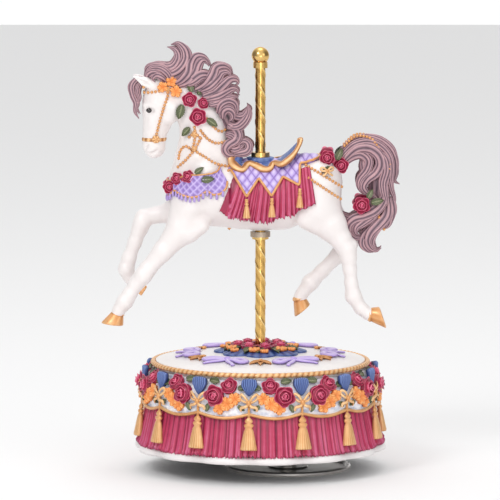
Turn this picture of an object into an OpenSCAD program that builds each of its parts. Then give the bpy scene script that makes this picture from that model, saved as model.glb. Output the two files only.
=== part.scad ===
// Carousel music box. A galloping horse stands on a twisted brass pole over a draped round base.
// The base holds a wind-up musical movement and turns on an eccentric steel foot.
// Millimetres, +Z up. The origin is the centre of the foot disc's underside, on the turning axis.
// The horse faces -X and its near side is -Y.

/* [Foot] */
// Radius of the foot disc
foot_r = 36.5; // [30:0.5:44]
// Height of the rolled rim of the foot disc
foot_rim_h = 2.6; // [2:0.1:4]
// Thickness of the sheet of the foot disc
foot_sheet = 1; // [0.8:0.1:1.6]
// Distance from the turning axis to the pole
eccentric = 16; // [12:0.5:19]
// Radius of the winding shaft
shaft_r = 2.5; // [2:0.1:3.2]

/* [Base] */
// Radius of the wall behind the curtain
base_r = 64.5; // [58:0.5:78]
// Height of the base's lower edge above the table
base_lift = 12; // [9:0.5:16]
// Height of the hem frill
hem_h = 5; // [4:0.5:7]
// Height of the curtain
curtain_h = 25.5; // [22:0.5:30]
// Height of the valance
valance_h = 10; // [8:0.5:13]
// Height of the plain band between the valance and the rope rim
band_h = 9.5; // [8:0.5:12]
// Rise of the domed top above the rope rim
dome_h = 4.5; // [3:0.5:8]
// Thickness of the base's wall
wall = 4; // [3:0.5:6]
// Number of swags, and of tassels
swags = 14; // [10:2:18]
// Thickness of the plate that closes the base
plate_t = 2; // [1.5:0.25:3]
// Radius of the rope round the top
rope_r = 1.5; // [1:0.1:2]

/* [Pole] */
// Radius of the pole
pole_r = 3.2; // [2.5:0.1:4]
// Height of the finial's top above the table
total_pole_h = 246; // [200:1:300]
// Radius of the ball finial
finial_r = 5.1; // [4:0.1:7]

/* [Horse] */
// Height of the horse's belly collar above the table
horse_z = 139; // [110:1:170]
// Width across the horse's barrel
barrel_w = 40; // [34:1:48]
// Thickness of the harness on the horse
tack_t = 1.2; // [0.8:0.1:2]
// Radius of the gold beads
bead_r = 0.9; // [0.7:0.05:1]

/* [Movement] */
// Teeth of the great wheel on the winding shaft
great_teeth = 24; // [24:1:24]
// Teeth of the cylinder's pinion
pinion_teeth = 8; // [8:1:8]
// Radius of the pinned cylinder
drum_r = 6; // [5:0.25:6.5]
// Length of the pinned cylinder
drum_len = 21; // [18:0.5:24]
// Notes on the comb
notes = 18; // [12:1:20]

/* [Hidden] */

$fn = 48;
thin = 0.1;          // a section's own thickness
fit = 0.1;           // gap between pieces that are glued together
run = 0.05;          // radial clearance of a turning shaft
gap = 0.5;           // clearance round what only passes through
first_swag = -5.5;   // the first tassel's place, degrees right of the front
swag_angle = 360 / swags;

// Heights of the base, from the bottom up
hem_top = base_lift + hem_h;
curtain_top = hem_top + curtain_h - 2.5;
valance_top = curtain_top + valance_h + 2.5;
rim_z = valance_top + band_h;
dome_z = rim_z + 2.5;
top_z = dome_z + dome_h;

// Radii of the base
hem_r = base_r + 9;
curtain_r = base_r + 6.7;
valance_r = base_r + 3.5;
band_r = base_r + 2.3;
rim_r = base_r - 3.8;
cavity_r = base_r - wall;
plate_r = cavity_r + 1.6;
ceiling_z = rim_z - 1.5;
plate_z = base_lift + 0.6;
inside_z = plate_z + plate_t;
plate_screw_r = cavity_r - 5;
plate_screw_turns = [60, 180, 300];

// The horse's sections are drawn for a barrel of this width
drawn_barrel_w = 40;
girth = barrel_w / drawn_barrel_w;

// ---- Places ----

// A frame on the pole's axis
module on_pole()
    translate([-eccentric, 0, 0])
        children();

// A place on the base: degrees right of the front, radius and height, facing outwards
module round_base(turn, r, z)
    on_pole()
        rotate(turn - 90)
            translate([r, 0, z])
                children();

// The horse's own frame: the pole's axis at the belly collar, with the near side at -Y
module on_horse()
    translate([-eccentric, 0, horse_z])
        scale([1, girth, 1])
            children();

// Radius of the domed top's surface height at a distance from the pole
dome_sphere = (rim_r * rim_r + dome_h * dome_h) / (2 * dome_h);
function dome_at(r) = top_z - dome_sphere + sqrt(dome_sphere * dome_sphere - r * r);

// ---- Swept sections ----

// Heading of a path at point i in the XZ plane
function heading(p, i) =
    let (a = p[max(i - 1, 0)], b = p[min(i + 1, len(p) - 1)])
    atan2(b[1] - a[1], b[0] - a[0]);

// A smooth path through the points p, with n steps between neighbours
function blend(a, b, c, d, t) =
    0.5 * (2 * b + (c - a) * t + (2 * a - 5 * b + 4 * c - d) * t * t + (3 * b - a - 3 * c + d) * t * t * t);
function smooth(p, n) = [
    for (i = [0 : len(p) - 2])
        for (k = [0 : n - 1])
            blend(p[max(i - 1, 0)], p[i], p[i + 1], p[min(i + 2, len(p) - 1)], k / n),
    p[len(p) - 1]
];

// One thin elliptical section: s = [x, z, y, half depth, half width]
module section(s, turn, grow, sides)
    translate([s[0], s[2], s[1]])
        rotate([0, 90 - turn, 0])
            scale([s[3] + grow, s[4] + grow, 1])
                cylinder(r = 1, h = thin, center = true, $fn = sides);

// A limb, neck or lock of hair through the sections p
module limb(p, grow = 0, sides = 14)
    for (i = [0 : len(p) - 2])
        hull() {
            section(p[i], heading(p, i), grow, sides);
            section(p[i + 1], heading(p, i + 1), grow, sides);
        }

// A lock of hair: points [x, z, y], widest in its first third, with a pointed tip
function lock_width(t, w) = w * (t < 0.3 ? 0.75 + t / 1.2 : pow(1 - (t - 0.3) / 0.72, 0.7));
module lock(p, w, n = 3) {
    path = smooth(p, n);
    last = len(path) - 1;
    limb([for (i = [0 : last]) let (h = lock_width(i / last, w)) concat(path[i], [h, 0.75 * h])], sides = 8);
}

// A row of beads along the straight runs between the points p, clear of each other
bead_step = 2 * bead_r + 0.7;
module beads(p)
    for (i = [0 : len(p) - 2])
        let (n = max(1, floor(norm(p[i + 1] - p[i]) / bead_step)))
            for (k = [i == 0 ? 0 : 1 : n])
                let (q = p[i] + (p[i + 1] - p[i]) * k / n)
                    translate([q[0], q[2], q[1]])
                        sphere(r = bead_r, $fn = 16);

// The children on the near side and again on the far side
module both_sides() {
    children();
    mirror([0, 1, 0])
        children();
}

// ---- Sections of the horse: [x, z above the belly collar, y, half depth, half width] ----

barrel = [
    [-53, 24, 0, 7, 6], [-50, 24.5, 0, 13, 11], [-44, 23.5, 0, 17, 15], [-35, 21.8, 0, 20, 18],
    [-23, 21.8, 0, 20.6, 19.3], [-12, 20.2, 0, 19.8, 20], [0, 19.4, 0, 19.2, 20],
    [11, 20.4, 0, 19.2, 19.6], [23, 23.6, 0, 19.8, 19], [34, 27, 0, 18.6, 17.6],
    [41, 28.2, 0, 15.6, 14.5], [46.5, 28.5, 0, 10.5, 9.5], [48.5, 28.5, 0, 4, 4]
];
neck = [
    [-33, 30, 0, 21, 14], [-31.5, 42, 0, 17, 12.4], [-31.5, 54, 0, 14, 10.6], [-34, 64, 0, 12.4, 9.4],
    [-39, 72.5, 0, 10.8, 8.6], [-45.5, 78, 0, 9.6, 8], [-52, 81, 0, 8, 7.4]
];
head = [
    [-55, 88, 0, 4, 4], [-56, 85, 0, 8.4, 6.6], [-57, 79.5, 0, 10.8, 8.4], [-58, 73.5, 0, 10.4, 8.8],
    [-58.4, 67.5, 0, 9.7, 8.2], [-59.8, 61.5, 0, 7.8, 6.8], [-61.3, 55.5, 0, 6.5, 5.6],
    [-61.7, 49.8, 0, 6.5, 5.6], [-61.3, 46.2, 0, 5.7, 5], [-60.6, 43.4, 0, 2.8, 3]
];
ear = [[-62.6, 84.5, -4.6, 3.4, 2.6], [-67, 87, -5, 2.9, 2], [-73, 90.2, -5.2, 0.6, 0.6]];
near_fore = [
    [-42, 18, -8, 12, 9], [-46.5, -0.6, -11, 8.6, 6.6], [-54.5, -9.8, -12, 6.3, 5.4],
    [-65.5, -24, -12, 5.2, 4.8], [-72, -32.6, -12, 4.2, 4], [-76, -38.6, -12, 4.4, 4.2],
    [-82, -42.2, -12, 3.2, 3.4], [-84.5, -43.2, -12, 4, 4]
];
far_fore = [
    [-40, 20, 8, 12, 9], [-52, 8.4, 11, 6.4, 6.4], [-61, 7.8, 12, 4.5, 5], [-68.5, 5.6, 12, 4.8, 4.6],
    [-71, -3, 12, 4.8, 4.4], [-76.5, -17, 12, 4.5, 4], [-78.7, -24.5, 12, 4.1, 4],
    [-76.5, -30, 12, 3.4, 3.4], [-73.5, -33, 12, 4, 3.8]
];
near_hind = [
    [33, 26, -7, 15, 10], [34.5, 15, -10, 14, 9], [41, 5, -11.5, 9.6, 7.6], [47, -3.4, -12, 6, 5.6],
    [51.3, -10.8, -12, 5.2, 4.8], [51.8, -20, -12, 4, 4], [53, -29.4, -12, 3.3, 3.5],
    [54.2, -36.4, -12, 4.5, 4.4], [60, -41.6, -12, 3.2, 3.4], [65, -43.8, -12, 4.2, 4.2]
];
far_hind = [
    [33, 26, 7, 15, 10], [34.5, 15, 10, 14, 9], [41, 5, 11.5, 9.6, 7.6], [47.5, -3.4, 12, 6, 5.6],
    [52.6, -9.6, 12, 5, 4.8], [45.5, -15.8, 12, 4.6, 4.2], [36, -24.8, 12, 3.8, 3.6],
    [29.5, -31.2, 12, 4.6, 4.4], [26.3, -36, 12, 3.3, 3.4], [24.6, -39.4, 12, 4.2, 4.2]
];

// Each hoof: [sole centre x, z, y, half length of the sole, heading of the leg, height]
hoof_places = [
    [-89.3, -52.2, -12, 6.3, 205, 8.6],
    [-68, -39.6, 12, 5.2, 310, 6.6],
    [70, -53.6, -12, 5.6, 305, 9.4],
    [23.2, -51, 12, 5.2, 262, 9.8]
];

// ---- Foot: the root body ----

module foot_disc()
    color("silver")
        rotate_extrude($fn = 96)
            polygon([
                [0, 0], [foot_r - 1, 0], [foot_r, 0.8], [foot_r, foot_rim_h - 0.8],
                [foot_r - 0.8, foot_rim_h], [foot_r - 2.2, foot_rim_h], [foot_r - 3.2, foot_sheet + 0.6],
                [foot_r - 4, foot_sheet], [12, foot_sheet], [11.4, foot_sheet + 0.6], [0, foot_sheet + 0.6]
            ]);

// The shaft stands on the foot disc and carries the great wheel
shaft_z = foot_sheet + 0.6;
bed_z = inside_z;
bed_t = 2.2;
housing_z = bed_z + bed_t;
housing_h = 12;
housing_r = 13;
wheel_z = housing_z + housing_h + 0.8;
wheel_t = 1.4;
tooth_r = 10.5;
tooth_h = 1.3;
pinion_pitch = tooth_r * pinion_teeth / great_teeth;
pinion_z = wheel_z + wheel_t + tooth_h - 0.6 + pinion_pitch;
shaft_top = wheel_z + wheel_t + 0.8;

module lock_nut()
    color("gray")
        translate([0, 0, shaft_z + 0.2])
            difference() {
                cylinder(r = 2 * shaft_r, h = 2.6, $fn = 6);
                translate([0, 0, -1])
                    cylinder(r = shaft_r + fit, h = 5);
            }

module winding_shaft()
    color("gray")
        translate([0, 0, shaft_z])
            cylinder(r = shaft_r, h = shaft_top - shaft_z);

module great_wheel()
    color("goldenrod") {
        translate([0, 0, wheel_z])
            difference() {
                cylinder(r = tooth_r + 0.7, h = wheel_t);
                translate([0, 0, -1])
                    cylinder(r = shaft_r + fit, h = wheel_t + 2);
            }
        for (i = [0 : great_teeth - 1])
            rotate((i + 0.5) * 360 / great_teeth)
                translate([tooth_r - 0.7, -0.35, wheel_z + wheel_t - 0.1])
                    cube([1.4, 0.7, tooth_h]);
    }

// ---- Base ----

// The valance lies on the shell up to this height
skin_top = rim_z - 2.2;
shoulder_z = valance_top - 1;

// Outside of the shell, from the rebate for the bottom plate up to the pole's hole in the domed top
hole_r = pole_r + fit;
shell_outside = concat(
    [[plate_r + fit, base_lift], [base_r, base_lift], [base_r, shoulder_z], [rim_r, skin_top]],
    [[rim_r, dome_z - 0.6]],
    [for (i = [1 : 8]) let (r = rim_r + (hole_r - rim_r) * i / 8) [r, dome_at(r)]]
);
shell_inside = [
    [hole_r, ceiling_z], [rim_r - wall - 2, ceiling_z], [rim_r - wall, ceiling_z - 2],
    [cavity_r, valance_top - 2], [cavity_r, inside_z], [plate_r + fit, inside_z]
];

// Radius of the valance's outside at a height above the curtain
function valance_at(h) = lookup(h, [
    [0, valance_r], [3, valance_r + 0.2], [valance_top - curtain_top, band_r + 0.2],
    [skin_top - curtain_top, rim_r + 1.4]
]);

// Lean of the valance's upper part
skin_lean = atan((band_r - rim_r - 1.2) / (skin_top - valance_top));

// A post inside the shell for one of the bottom plate's screws, with a rib to the wall
module screw_post()
    difference() {
        union() {
            translate([plate_screw_r, 0, inside_z])
                cylinder(r = 4, h = ceiling_z - inside_z + 1);
            translate([plate_screw_r + 2, -1, inside_z + 1])
                cube([cavity_r - plate_screw_r - 1, 2, valance_top - 6 - inside_z]);
        }
        translate([plate_screw_r, 0, inside_z - 1])
            cylinder(r = 1.3, h = 12);
    }

module base_shell()
    color("white")
        on_pole() {
            rotate_extrude($fn = 96)
                polygon(concat(shell_outside, shell_inside));
            for (a = plate_screw_turns)
                rotate(a)
                    screw_post();
        }

module hem_frill()
    color("white")
        on_pole()
            translate([0, 0, base_lift])
                linear_extrude(hem_h - fit)
                    difference() {
                        polygon([for (a = [0 : 3 : 357])
                            let (r = hem_r - 2.4 * pow(abs(cos((a + 90 - first_swag) * swags / 2)), 3))
                            [r * cos(a), r * sin(a)]]);
                        circle(r = base_r + fit, $fn = 96);
                    }

module rope_rim()
    color("goldenrod")
        on_pole()
            translate([0, 0, rim_z + 0.6])
                rotate_extrude($fn = 96)
                    translate([rim_r + rope_r + fit, 0])
                        circle(r = rope_r, $fn = 24);

module valance()
    color("lavender")
        on_pole()
            rotate_extrude($fn = 96)
                polygon([
                    [base_r + fit, curtain_top + fit], [valance_at(0), curtain_top + fit],
                    [valance_at(3), curtain_top + 3], [band_r + 0.2, valance_top], [rim_r + 1.4, skin_top],
                    [rim_r + fit, skin_top], [base_r + fit, shoulder_z + fit]
                ]);

// The gold trim hangs in an arc between the tassels: its height at a number of swags from the first
trim_beads = 8;
trim_drop = 2.4;
function trim_z(n) = curtain_top + 1.4 - trim_drop * abs(sin(180 * n));

module valance_trim()
    color("goldenrod")
        for (i = [0 : swags * trim_beads - 1])
            round_base(first_swag + i * swag_angle / trim_beads, valance_r + 0.6, trim_z(i / trim_beads))
                rotate([0, 90, 0])
                    cylinder(r = 1.1, h = 1.4, center = true, $fn = 16);

module curtain()
    color("crimson")
        on_pole()
            translate([0, 0, hem_top])
                difference() {
                    linear_extrude(height = curtain_h - 2.5, scale = (valance_r - 1.2) / curtain_r)
                        polygon([for (i = [0 : swags * 24 - 1])
                            let (r = curtain_r + 0.9 * cos(i * 90))
                            [r * cos(i * 15 / swags), r * sin(i * 15 / swags)]]);
                    translate([0, 0, -1])
                        cylinder(r = base_r + fit, h = curtain_h + 2, $fn = 96);
                }

tassel_top = curtain_top - 1;
module base_tassels()
    color("goldenrod")
        for (i = [0 : swags - 1])
            round_base(first_swag + i * swag_angle, curtain_r - 1.9, tassel_top)
                rotate([0, -6, 0])
                    rotate_extrude($fn = 24)
                        polygon([
                            [0, -18], [4.4, -18], [4.6, -16.5], [3, -6], [2.2, -5.2], [3, -4.6],
                            [3, -3.4], [1.8, -2.8], [2.6, -2], [2.6, -0.8], [1.4, 0], [0, 0]
                        ]);

bow_h = 7;
module base_bows()
    color("goldenrod")
        for (i = [0 : swags - 1])
            round_base(first_swag + i * swag_angle, valance_at(bow_h) - 0.6, curtain_top + bow_h)
                rotate([90, 0, 90])
                    linear_extrude(2)
                        polygon([
                            [0, 0.6], [3, 4.4], [4.4, 2.4], [1, -0.6], [3.6, -3.6], [1, -6], [-1, -6],
                            [-3.6, -3.6], [-1, -0.6], [-4.4, 2.4], [-3, 4.4]
                        ]);

fan_h = 11;
module base_fans()
    color("steelblue")
        for (i = [0 : swags - 1])
            round_base(first_swag + i * swag_angle, valance_at(fan_h) - 0.6, curtain_top + fan_h)
                rotate([0, -skin_lean, 0])
                    rotate([90, 0, 90])
                        linear_extrude(2.2)
                            polygon([
                                [0, -1], [4.4, 5.6], [4.2, 8.6], [2.6, 10], [1.3, 8.8], [0, 10.4],
                                [-1.3, 8.8], [-2.6, 10], [-4.2, 8.6], [-4.4, 5.6]
                            ]);

// Flowers between two tassels: [share of the swag, height above the curtain, size], mirrored on every
// other swag
swag_roses = [[-0.12, 17.4, 4.3], [0.12, 11.4, 4.6]];
swag_blossoms = [[-0.13, 9.4, 3.6], [-0.04, 5, 3.6]];
swag_leaves = [[-0.34, 9, 60], [0.2, 17, -20], [0.3, 5, 80]];

module on_swag(i, p)
    round_base(
        first_swag + (i + 0.5 + (i % 2 == 0 ? p[0] : -p[0])) * swag_angle,
        valance_at(p[1]) - 0.4,
        curtain_top + p[1]
    )
        rotate([0, p[1] > valance_h ? -skin_lean : 0, 0])
            children();

module base_roses()
    color("mediumvioletred")
        for (i = [0 : swags - 1])
            for (p = swag_roses)
                on_swag(i, p)
                    translate([0.8, 0, 0])
                        sphere(r = p[2], $fn = 24);

module base_blossoms()
    color("orange")
        for (i = [0 : swags - 1])
            for (p = swag_blossoms)
                on_swag(i, p)
                    rotate([0, 90, 0])
                        cylinder(r = p[2], h = 2.4, $fn = 5);

module leaf(len, w, t)
    linear_extrude(t)
        polygon([[0, 0], [0.35 * len, 0.5 * w], [0.75 * len, 0.35 * w], [len, 0], [0.75 * len, -0.35 * w],
            [0.35 * len, -0.5 * w]]);

module base_leaves()
    color("darkolivegreen")
        for (i = [0 : swags - 1])
            for (p = swag_leaves)
                on_swag(i, p)
                    rotate([90, 0, 90])
                        rotate(p[2])
                            leaf(6, 3.6, 1);

// ---- Flowers and ribbons on the domed top ----

// A place on the domed top: degrees right of the front and distance from the pole
module on_top(turn, r)
    round_base(turn, r, dome_at(r))
        rotate([0, asin(r / dome_sphere), 0])
            children();

module top_drape()
    color("navy")
        on_pole()
            translate([0, 0, dome_at(20)])
                linear_extrude(2.2)
                    difference() {
                        polygon([for (a = [0 : 5 : 355])
                            let (r = 24 + 3 * cos(8 * a))
                            [r * cos(a), r * sin(a)]]);
                        circle(r = 11);
                    }

module top_ribbons()
    color("plum")
        for (i = [0 : 5])
            on_top(30 + 60 * i, 40)
                translate([0, 0, -0.3])
                    for (side = [-1, 1])
                        rotate(90 + side * 38)
                            translate([8.2, 0, 0])
                                difference() {
                                    cylinder(r = 7, h = 2);
                                    translate([0, 0, -1])
                                        cylinder(r = 4, h = 4);
                                }

module top_fleurs()
    color("goldenrod")
        for (i = [0 : 5])
            on_top(60 * i, 40)
                translate([0, 0, -0.3])
                    for (side = [-1, 0, 1])
                        rotate(180 + side * 40)
                            leaf(9, 4, 1.6);

module top_roses()
    color("mediumvioletred")
        for (i = [0 : 6])
            on_top(15 + i * 360 / 7, 11 + 2 * (i % 2))
                translate([0, 0, 2])
                    sphere(r = 4.2, $fn = 24);

module top_blossoms()
    color("orange")
        for (i = [0 : 6])
            on_top(40 + i * 360 / 7, 19)
                translate([0, 0, 2.2])
                    cylinder(r = 3, h = 2, $fn = 5);

module top_leaves()
    color("darkolivegreen")
        for (i = [0 : 13])
            on_top(i * 360 / 14 + 2, 15)
                translate([0, 0, 1.7])
                    leaf(8, 4.4, 0.8);

// ---- Bottom plate ----

module bottom_plate()
    color("dimgray")
        difference() {
            on_pole()
                translate([0, 0, plate_z])
                    cylinder(r = plate_r, h = plate_t - fit, $fn = 96);
            cylinder(r = shaft_r + gap, h = inside_z);
            on_pole()
                for (a = plate_screw_turns)
                    rotate(a)
                        translate([plate_screw_r, 0, 0])
                            cylinder(r = 1.7, h = inside_z);
            for (p = bed_corners)
                translate([p[0], p[1], 0])
                    cylinder(r = 1.7, h = inside_z);
        }

// A pan-head screw with its head's underside at z = 0 and its shank pointing up
module screw(r, shank, head_r, head_h) {
    cylinder(r = r, h = shank);
    translate([0, 0, -head_h])
        difference() {
            cylinder(r = head_r, h = head_h);
            translate([-head_r, -0.4, -1])
                cube([2 * head_r, 0.8, 1.6]);
        }
}

module plate_screws()
    color("silver")
        on_pole()
            for (a = plate_screw_turns)
                rotate(a)
                    translate([plate_screw_r, 0, plate_z - fit])
                        screw(1.2, 10, 2.6, 1.4);

// ---- Pole ----

nut_h = 3.4;
module pole()
    color("gold")
        on_pole()
            translate([0, 0, ceiling_z - nut_h - 3])
                cylinder(r = pole_r, h = total_pole_h - 2 * finial_r + 1 - ceiling_z + nut_h + 3);

module finial()
    color("gold")
        on_pole()
            difference() {
                union() {
                    translate([0, 0, total_pole_h - finial_r])
                        sphere(r = finial_r);
                    translate([0, 0, total_pole_h - 2 * finial_r - 2])
                        cylinder(r = pole_r + 1, h = 3.4);
                }
                translate([0, 0, total_pole_h - 2 * finial_r - 3])
                    cylinder(r = pole_r + fit, h = 4.1);
            }

module pole_nut()
    color("silver")
        on_pole()
            translate([0, 0, ceiling_z - nut_h - fit])
                difference() {
                    cylinder(r = 1.9 * pole_r, h = nut_h, $fn = 6);
                    translate([0, 0, -1])
                        cylinder(r = pole_r + fit, h = nut_h + 2);
                }

module ring(r, h)
    difference() {
        cylinder(r = r, h = h);
        translate([0, 0, -1])
            cylinder(r = pole_r + fit, h = h + 2);
    }

saddle_top = 43.2;
module saddle_collar()
    color("gold")
        translate([-eccentric, 0, horse_z + saddle_top])
            ring(5.4, 2.6);

module belly_washer()
    color("gray")
        translate([-eccentric, 0, horse_z - 3.4])
            ring(5.8, 3);

module belly_flange()
    color("gold")
        translate([-eccentric, 0, horse_z - 4.8])
            ring(4.8, 1.3);

// ---- Horse ----

module trunk(grow)
    on_horse() {
        limb(barrel, grow, 18);
        limb(neck, grow, 16);
    }

module pole_hole()
    translate([-eccentric, 0, 0])
        cylinder(r = pole_r + fit, h = total_pole_h, $fn = 24);

module horse_body()
    color("white")
        difference() {
            union() {
                trunk(0);
                on_horse() {
                    limb(head);
                    limb(ear, sides = 10);
                    mirror([0, 1, 0])
                        limb(ear, sides = 10);
                    limb(near_fore, sides = 12);
                    limb(far_fore, sides = 12);
                    limb(near_hind, sides = 12);
                    limb(far_hind, sides = 12);
                }
            }
            pole_hole();
            translate([-eccentric, 0, horse_z - 2])
                cylinder(r = 7, h = 2 + fit, $fn = 24);
        }

// A hoof: a flared block, with its sole at the far end of the leg's heading
module hoof(p)
    translate([p[0], p[2], p[1]])
        rotate([0, 90 - p[4], 0])
            hull() {
                translate([0, 0, -p[5]])
                    scale([0.72, 0.72, 1])
                        cylinder(r = p[3], h = 1, $fn = 16);
                translate([0, 0, -1.2])
                    cylinder(r = p[3], h = 1.2, $fn = 16);
            }

module hooves()
    color("orange")
        on_horse()
            for (p = hoof_places)
                hoof(p);

// The mane: a crest under a row of curls, each [width, points]
mane_crest = [
    [-56, 86, 0, 5, 5], [-48, 90, 0, 8, 7], [-38, 87, 0, 9, 7], [-29, 80, 0, 9, 7],
    [-21.5, 70, 0, 8, 6.5], [-16.5, 59, 0, 7, 6], [-14, 48, 0, 5, 5]
];
mane_locks = [
    [3.2, [[-62, 82, 0], [-65, 91, -1], [-63, 98, 0], [-60, 95, 1]]],
    [3, [[-62, 86, -2], [-72, 88, -3], [-75, 78, -4], [-70.5, 66, -4]]],
    [4.4, [[-44, 88, -2], [-47, 98, -3], [-50, 106, 0], [-46, 109, 3], [-53, 106, 3]]],
    [4, [[-40, 88, 3], [-42, 97, 3], [-39, 104, 0], [-33, 102, -3], [-29, 95, -4]]],
    [4, [[-36, 84, -4], [-31, 92, -4], [-25, 97, 0], [-20, 95, 3], [-16, 91, 3]]],
    [3.8, [[-30, 80, 3], [-25, 87, 3], [-19, 90, 0], [-13, 86, -2]]],
    [3.8, [[-26, 74, -4], [-22, 81, -4], [-17, 83, -3], [-12.5, 80, 0]]],
    [3.6, [[-22, 68, -5], [-17, 74, -7], [-11, 73, -7], [-5, 74, -6]]],
    [3.4, [[-20, 62, 5], [-14, 68, 6], [-9, 66, 6], [-5, 62, 6]]],
    [3.2, [[-17, 58, -5], [-11, 56, -7], [-7, 50, -7], [-11, 44, -6], [-18, 44, -5], [-20, 48, -4]]],
    [3.2, [[-18, 52, 5], [-12, 50, 6], [-10, 45, 6], [-15, 43, 4]]]
];
tail_locks = [
    [4.6, [[48, 45, 0], [54, 52, 0], [62, 54.5, 0], [70, 52.5, 0], [77, 45, 0], [80, 35, 0], [79, 24, 0],
        [75, 13, 0], [72, 8, 0]]],
    [5.2, [[49, 43, -3], [57, 47, -4], [66, 43, -4], [71, 34, -4], [72, 22, -4], [68, 10, -4], [68, 0, -3],
        [70, -10, 0]]],
    [5.2, [[51, 45, 3], [61, 43, 4], [65, 32, 5], [64, 18, 5], [61, 8, 4], [62, -2, 3], [66, -12, 0]]],
    [4.2, [[64, 32, -3], [59, 22, -4], [55, 16, -4], [50, 13, -4], [45, 12, -3]]],
    [4.4, [[64, 24, 2], [57, 16, 3], [51, 8, 2], [50, 0, 0], [54, -5, 0], [58, -7, 0]]],
    [4.2, [[70, 36, 4], [75, 28, 5], [73, 16, 5], [66, 6, 4], [62, -4, 2]]]
];

module mane()
    color("rosybrown")
        difference() {
            on_horse() {
                limb(mane_crest, sides = 10);
                for (k = mane_locks)
                    lock(k[1], k[0]);
            }
            pole_hole();
        }

module tail()
    color("rosybrown")
        on_horse()
            for (k = tail_locks)
                lock(k[1], k[0]);

// ---- Saddle and harness ----

seat = [
    [-12.5, 40, 0, 2.4, 8], [-9, 37, 0, 2.6, 12], [-3, 35.6, 0, 2.4, 13.5], [4, 36, 0, 2.6, 13.5],
    [12, 39.6, 0, 2.6, 12.5], [18, 44.6, 0, 2.6, 10], [21.5, 49.8, 0, 1.6, 7]
];
module saddle()
    color("steelblue")
        difference() {
            on_horse()
                union() {
                    limb(seat, 0, 12);
                    limb([[-13.5, 41, 0, 3, 5], [-11, 42.5, 0, 2.8, 4], [-9, 42, 0, 2, 3]], 0, 12);
                }
            pole_hole();
        }

roll = [
    [-18.4, 42.6, -6, 1.2, 1.2], [-14.4, 35.6, -11.5, 1.4, 1.4], [-10, 34, -14.5, 1.5, 1.5],
    [-4, 35, -15.6, 1.5, 1.5], [3, 34.6, -15.8, 1.5, 1.5], [10, 37.6, -14.6, 1.5, 1.5],
    [17, 43, -11.6, 1.5, 1.5], [21.6, 49.4, -7, 1.6, 1.6], [23.2, 52, 0, 1.7, 1.7]
];
module saddle_roll()
    color("goldenrod")
        on_horse()
            both_sides()
                limb(smooth(roll, 2), 0, 8);

// Outlines in the horse's XZ plane
blanket_outline = [
    [-19, 40], [-15, 32], [-14.8, 32.2], [-8, 20.4], [-0.9, 30.1], [6.5, 20.9], [13, 31.3], [21, 27.5],
    [24, 39], [28, 37.6], [33, 45], [26, 50], [-12, 48]
];
skirt_outline = [
    [-15, 32.2], [-23, 11], [-14.2, 6.4], [-5, 7.8], [1.5, 4.6], [9.6, 7.8], [17, 9.4], [25.8, 14],
    [31, 16], [28, 37], [22, 42], [-10, 42]
];
collar_outline = [
    [-52, 24], [-46.8, 20], [-39, 15.5], [-30.6, 21.6], [-24.4, 18.6], [-15.4, 31.4], [-19, 40],
    [-30, 33], [-38, 31.6], [-50, 32.6]
];

module cut_from_trunk(outline, grow, under)
    difference() {
        intersection() {
            trunk(grow);
            translate([-eccentric, 0, horse_z])
                rotate([90, 0, 0])
                    translate([0, 0, -40])
                        linear_extrude(80)
                            polygon(outline);
        }
        trunk(under);
    }

module blanket()
    color("plum")
        difference() {
            cut_from_trunk(blanket_outline, tack_t + 0.6, 0.02);
            pole_hole();
        }

module skirt()
    color("crimson")
        difference() {
            cut_from_trunk(skirt_outline, tack_t, 0.02);
            translate([-eccentric, 0, horse_z])
                rotate([90, 0, 0])
                    translate([0, 0, -41])
                        linear_extrude(82)
                            polygon(blanket_outline);
        }

module breast_collar()
    color("plum")
        cut_from_trunk(collar_outline, tack_t, 0.02);

skirt_tassel_places = [[-8, 19, 20.6], [6.6, 19.4, 21], [22.2, 25.6, 20]];
module skirt_tassels()
    color("goldenrod")
        on_horse()
            both_sides()
                for (p = skirt_tassel_places)
                    translate([p[0], -p[2], p[1]])
                        rotate_extrude($fn = 20)
                            polygon([
                                [0, -9.4], [2, -9.4], [1.5, -4], [0.9, -3], [1.5, -2.2], [1.5, -1], [0.6, 0], [0, 0]
                            ]);

module noseband()
    color("plum")
        difference() {
            on_horse()
                limb([[-61.1, 54.2, 0, 7.4, 6.5], [-61.6, 51.4, 0, 7.4, 6.5]], 0, 16);
            on_horse()
                limb(head, 0.1);
        }

bead_lines = [
    [[-65, 80.4, -8.4], [-58.4, 80.6, -10]],
    [[-53.6, 79, -9.6], [-55.4, 73.5, -10], [-58, 65, -9], [-60, 57.4, -8]],
    [[-30, 63.4, -11.6], [-26.6, 59.6, -12], [-23, 57.4, -11.4]],
    [[-33.6, 57.6, -12], [-30.4, 53, -13], [-25.4, 50.8, -12.8]],
    [[-37.4, 46, -13.4], [-32, 42, -14.6], [-26.6, 38.4, -16], [-19, 36.8, -18]],
    [[26.8, 37, -19.4], [36.6, 32, -18.8], [45, 26.6, -12.6]],
    [[28.4, 30.4, -20.2], [36.6, 24.6, -19.6], [45, 19.8, -15.6]]
];
module bead_chains()
    color("gold")
        on_horse()
            both_sides()
                for (p = bead_lines)
                    beads(p);

// Roses on the horse: [x, z, y, radius]
horse_rose_places = [
    [-41, 77, -10, 3.6], [-36, 67.2, -11, 4.2], [-33.2, 74.8, -10, 2.8], [-52.6, 26.4, -8, 3.2],
    [-47.4, 31.4, -11, 3], [-41, 32.8, -14, 2.8], [38.6, 43.6, -10, 3.8], [46.6, 38.6, -5.2, 4],
    [58.6, 16, -8, 4.4]
];
module horse_roses()
    color("mediumvioletred")
        on_horse()
            both_sides()
                for (p = horse_rose_places)
                    translate([p[0], p[2], p[1]])
                        scale([1, 1 / girth, 1])
                            sphere(r = p[3], $fn = 24);

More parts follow.
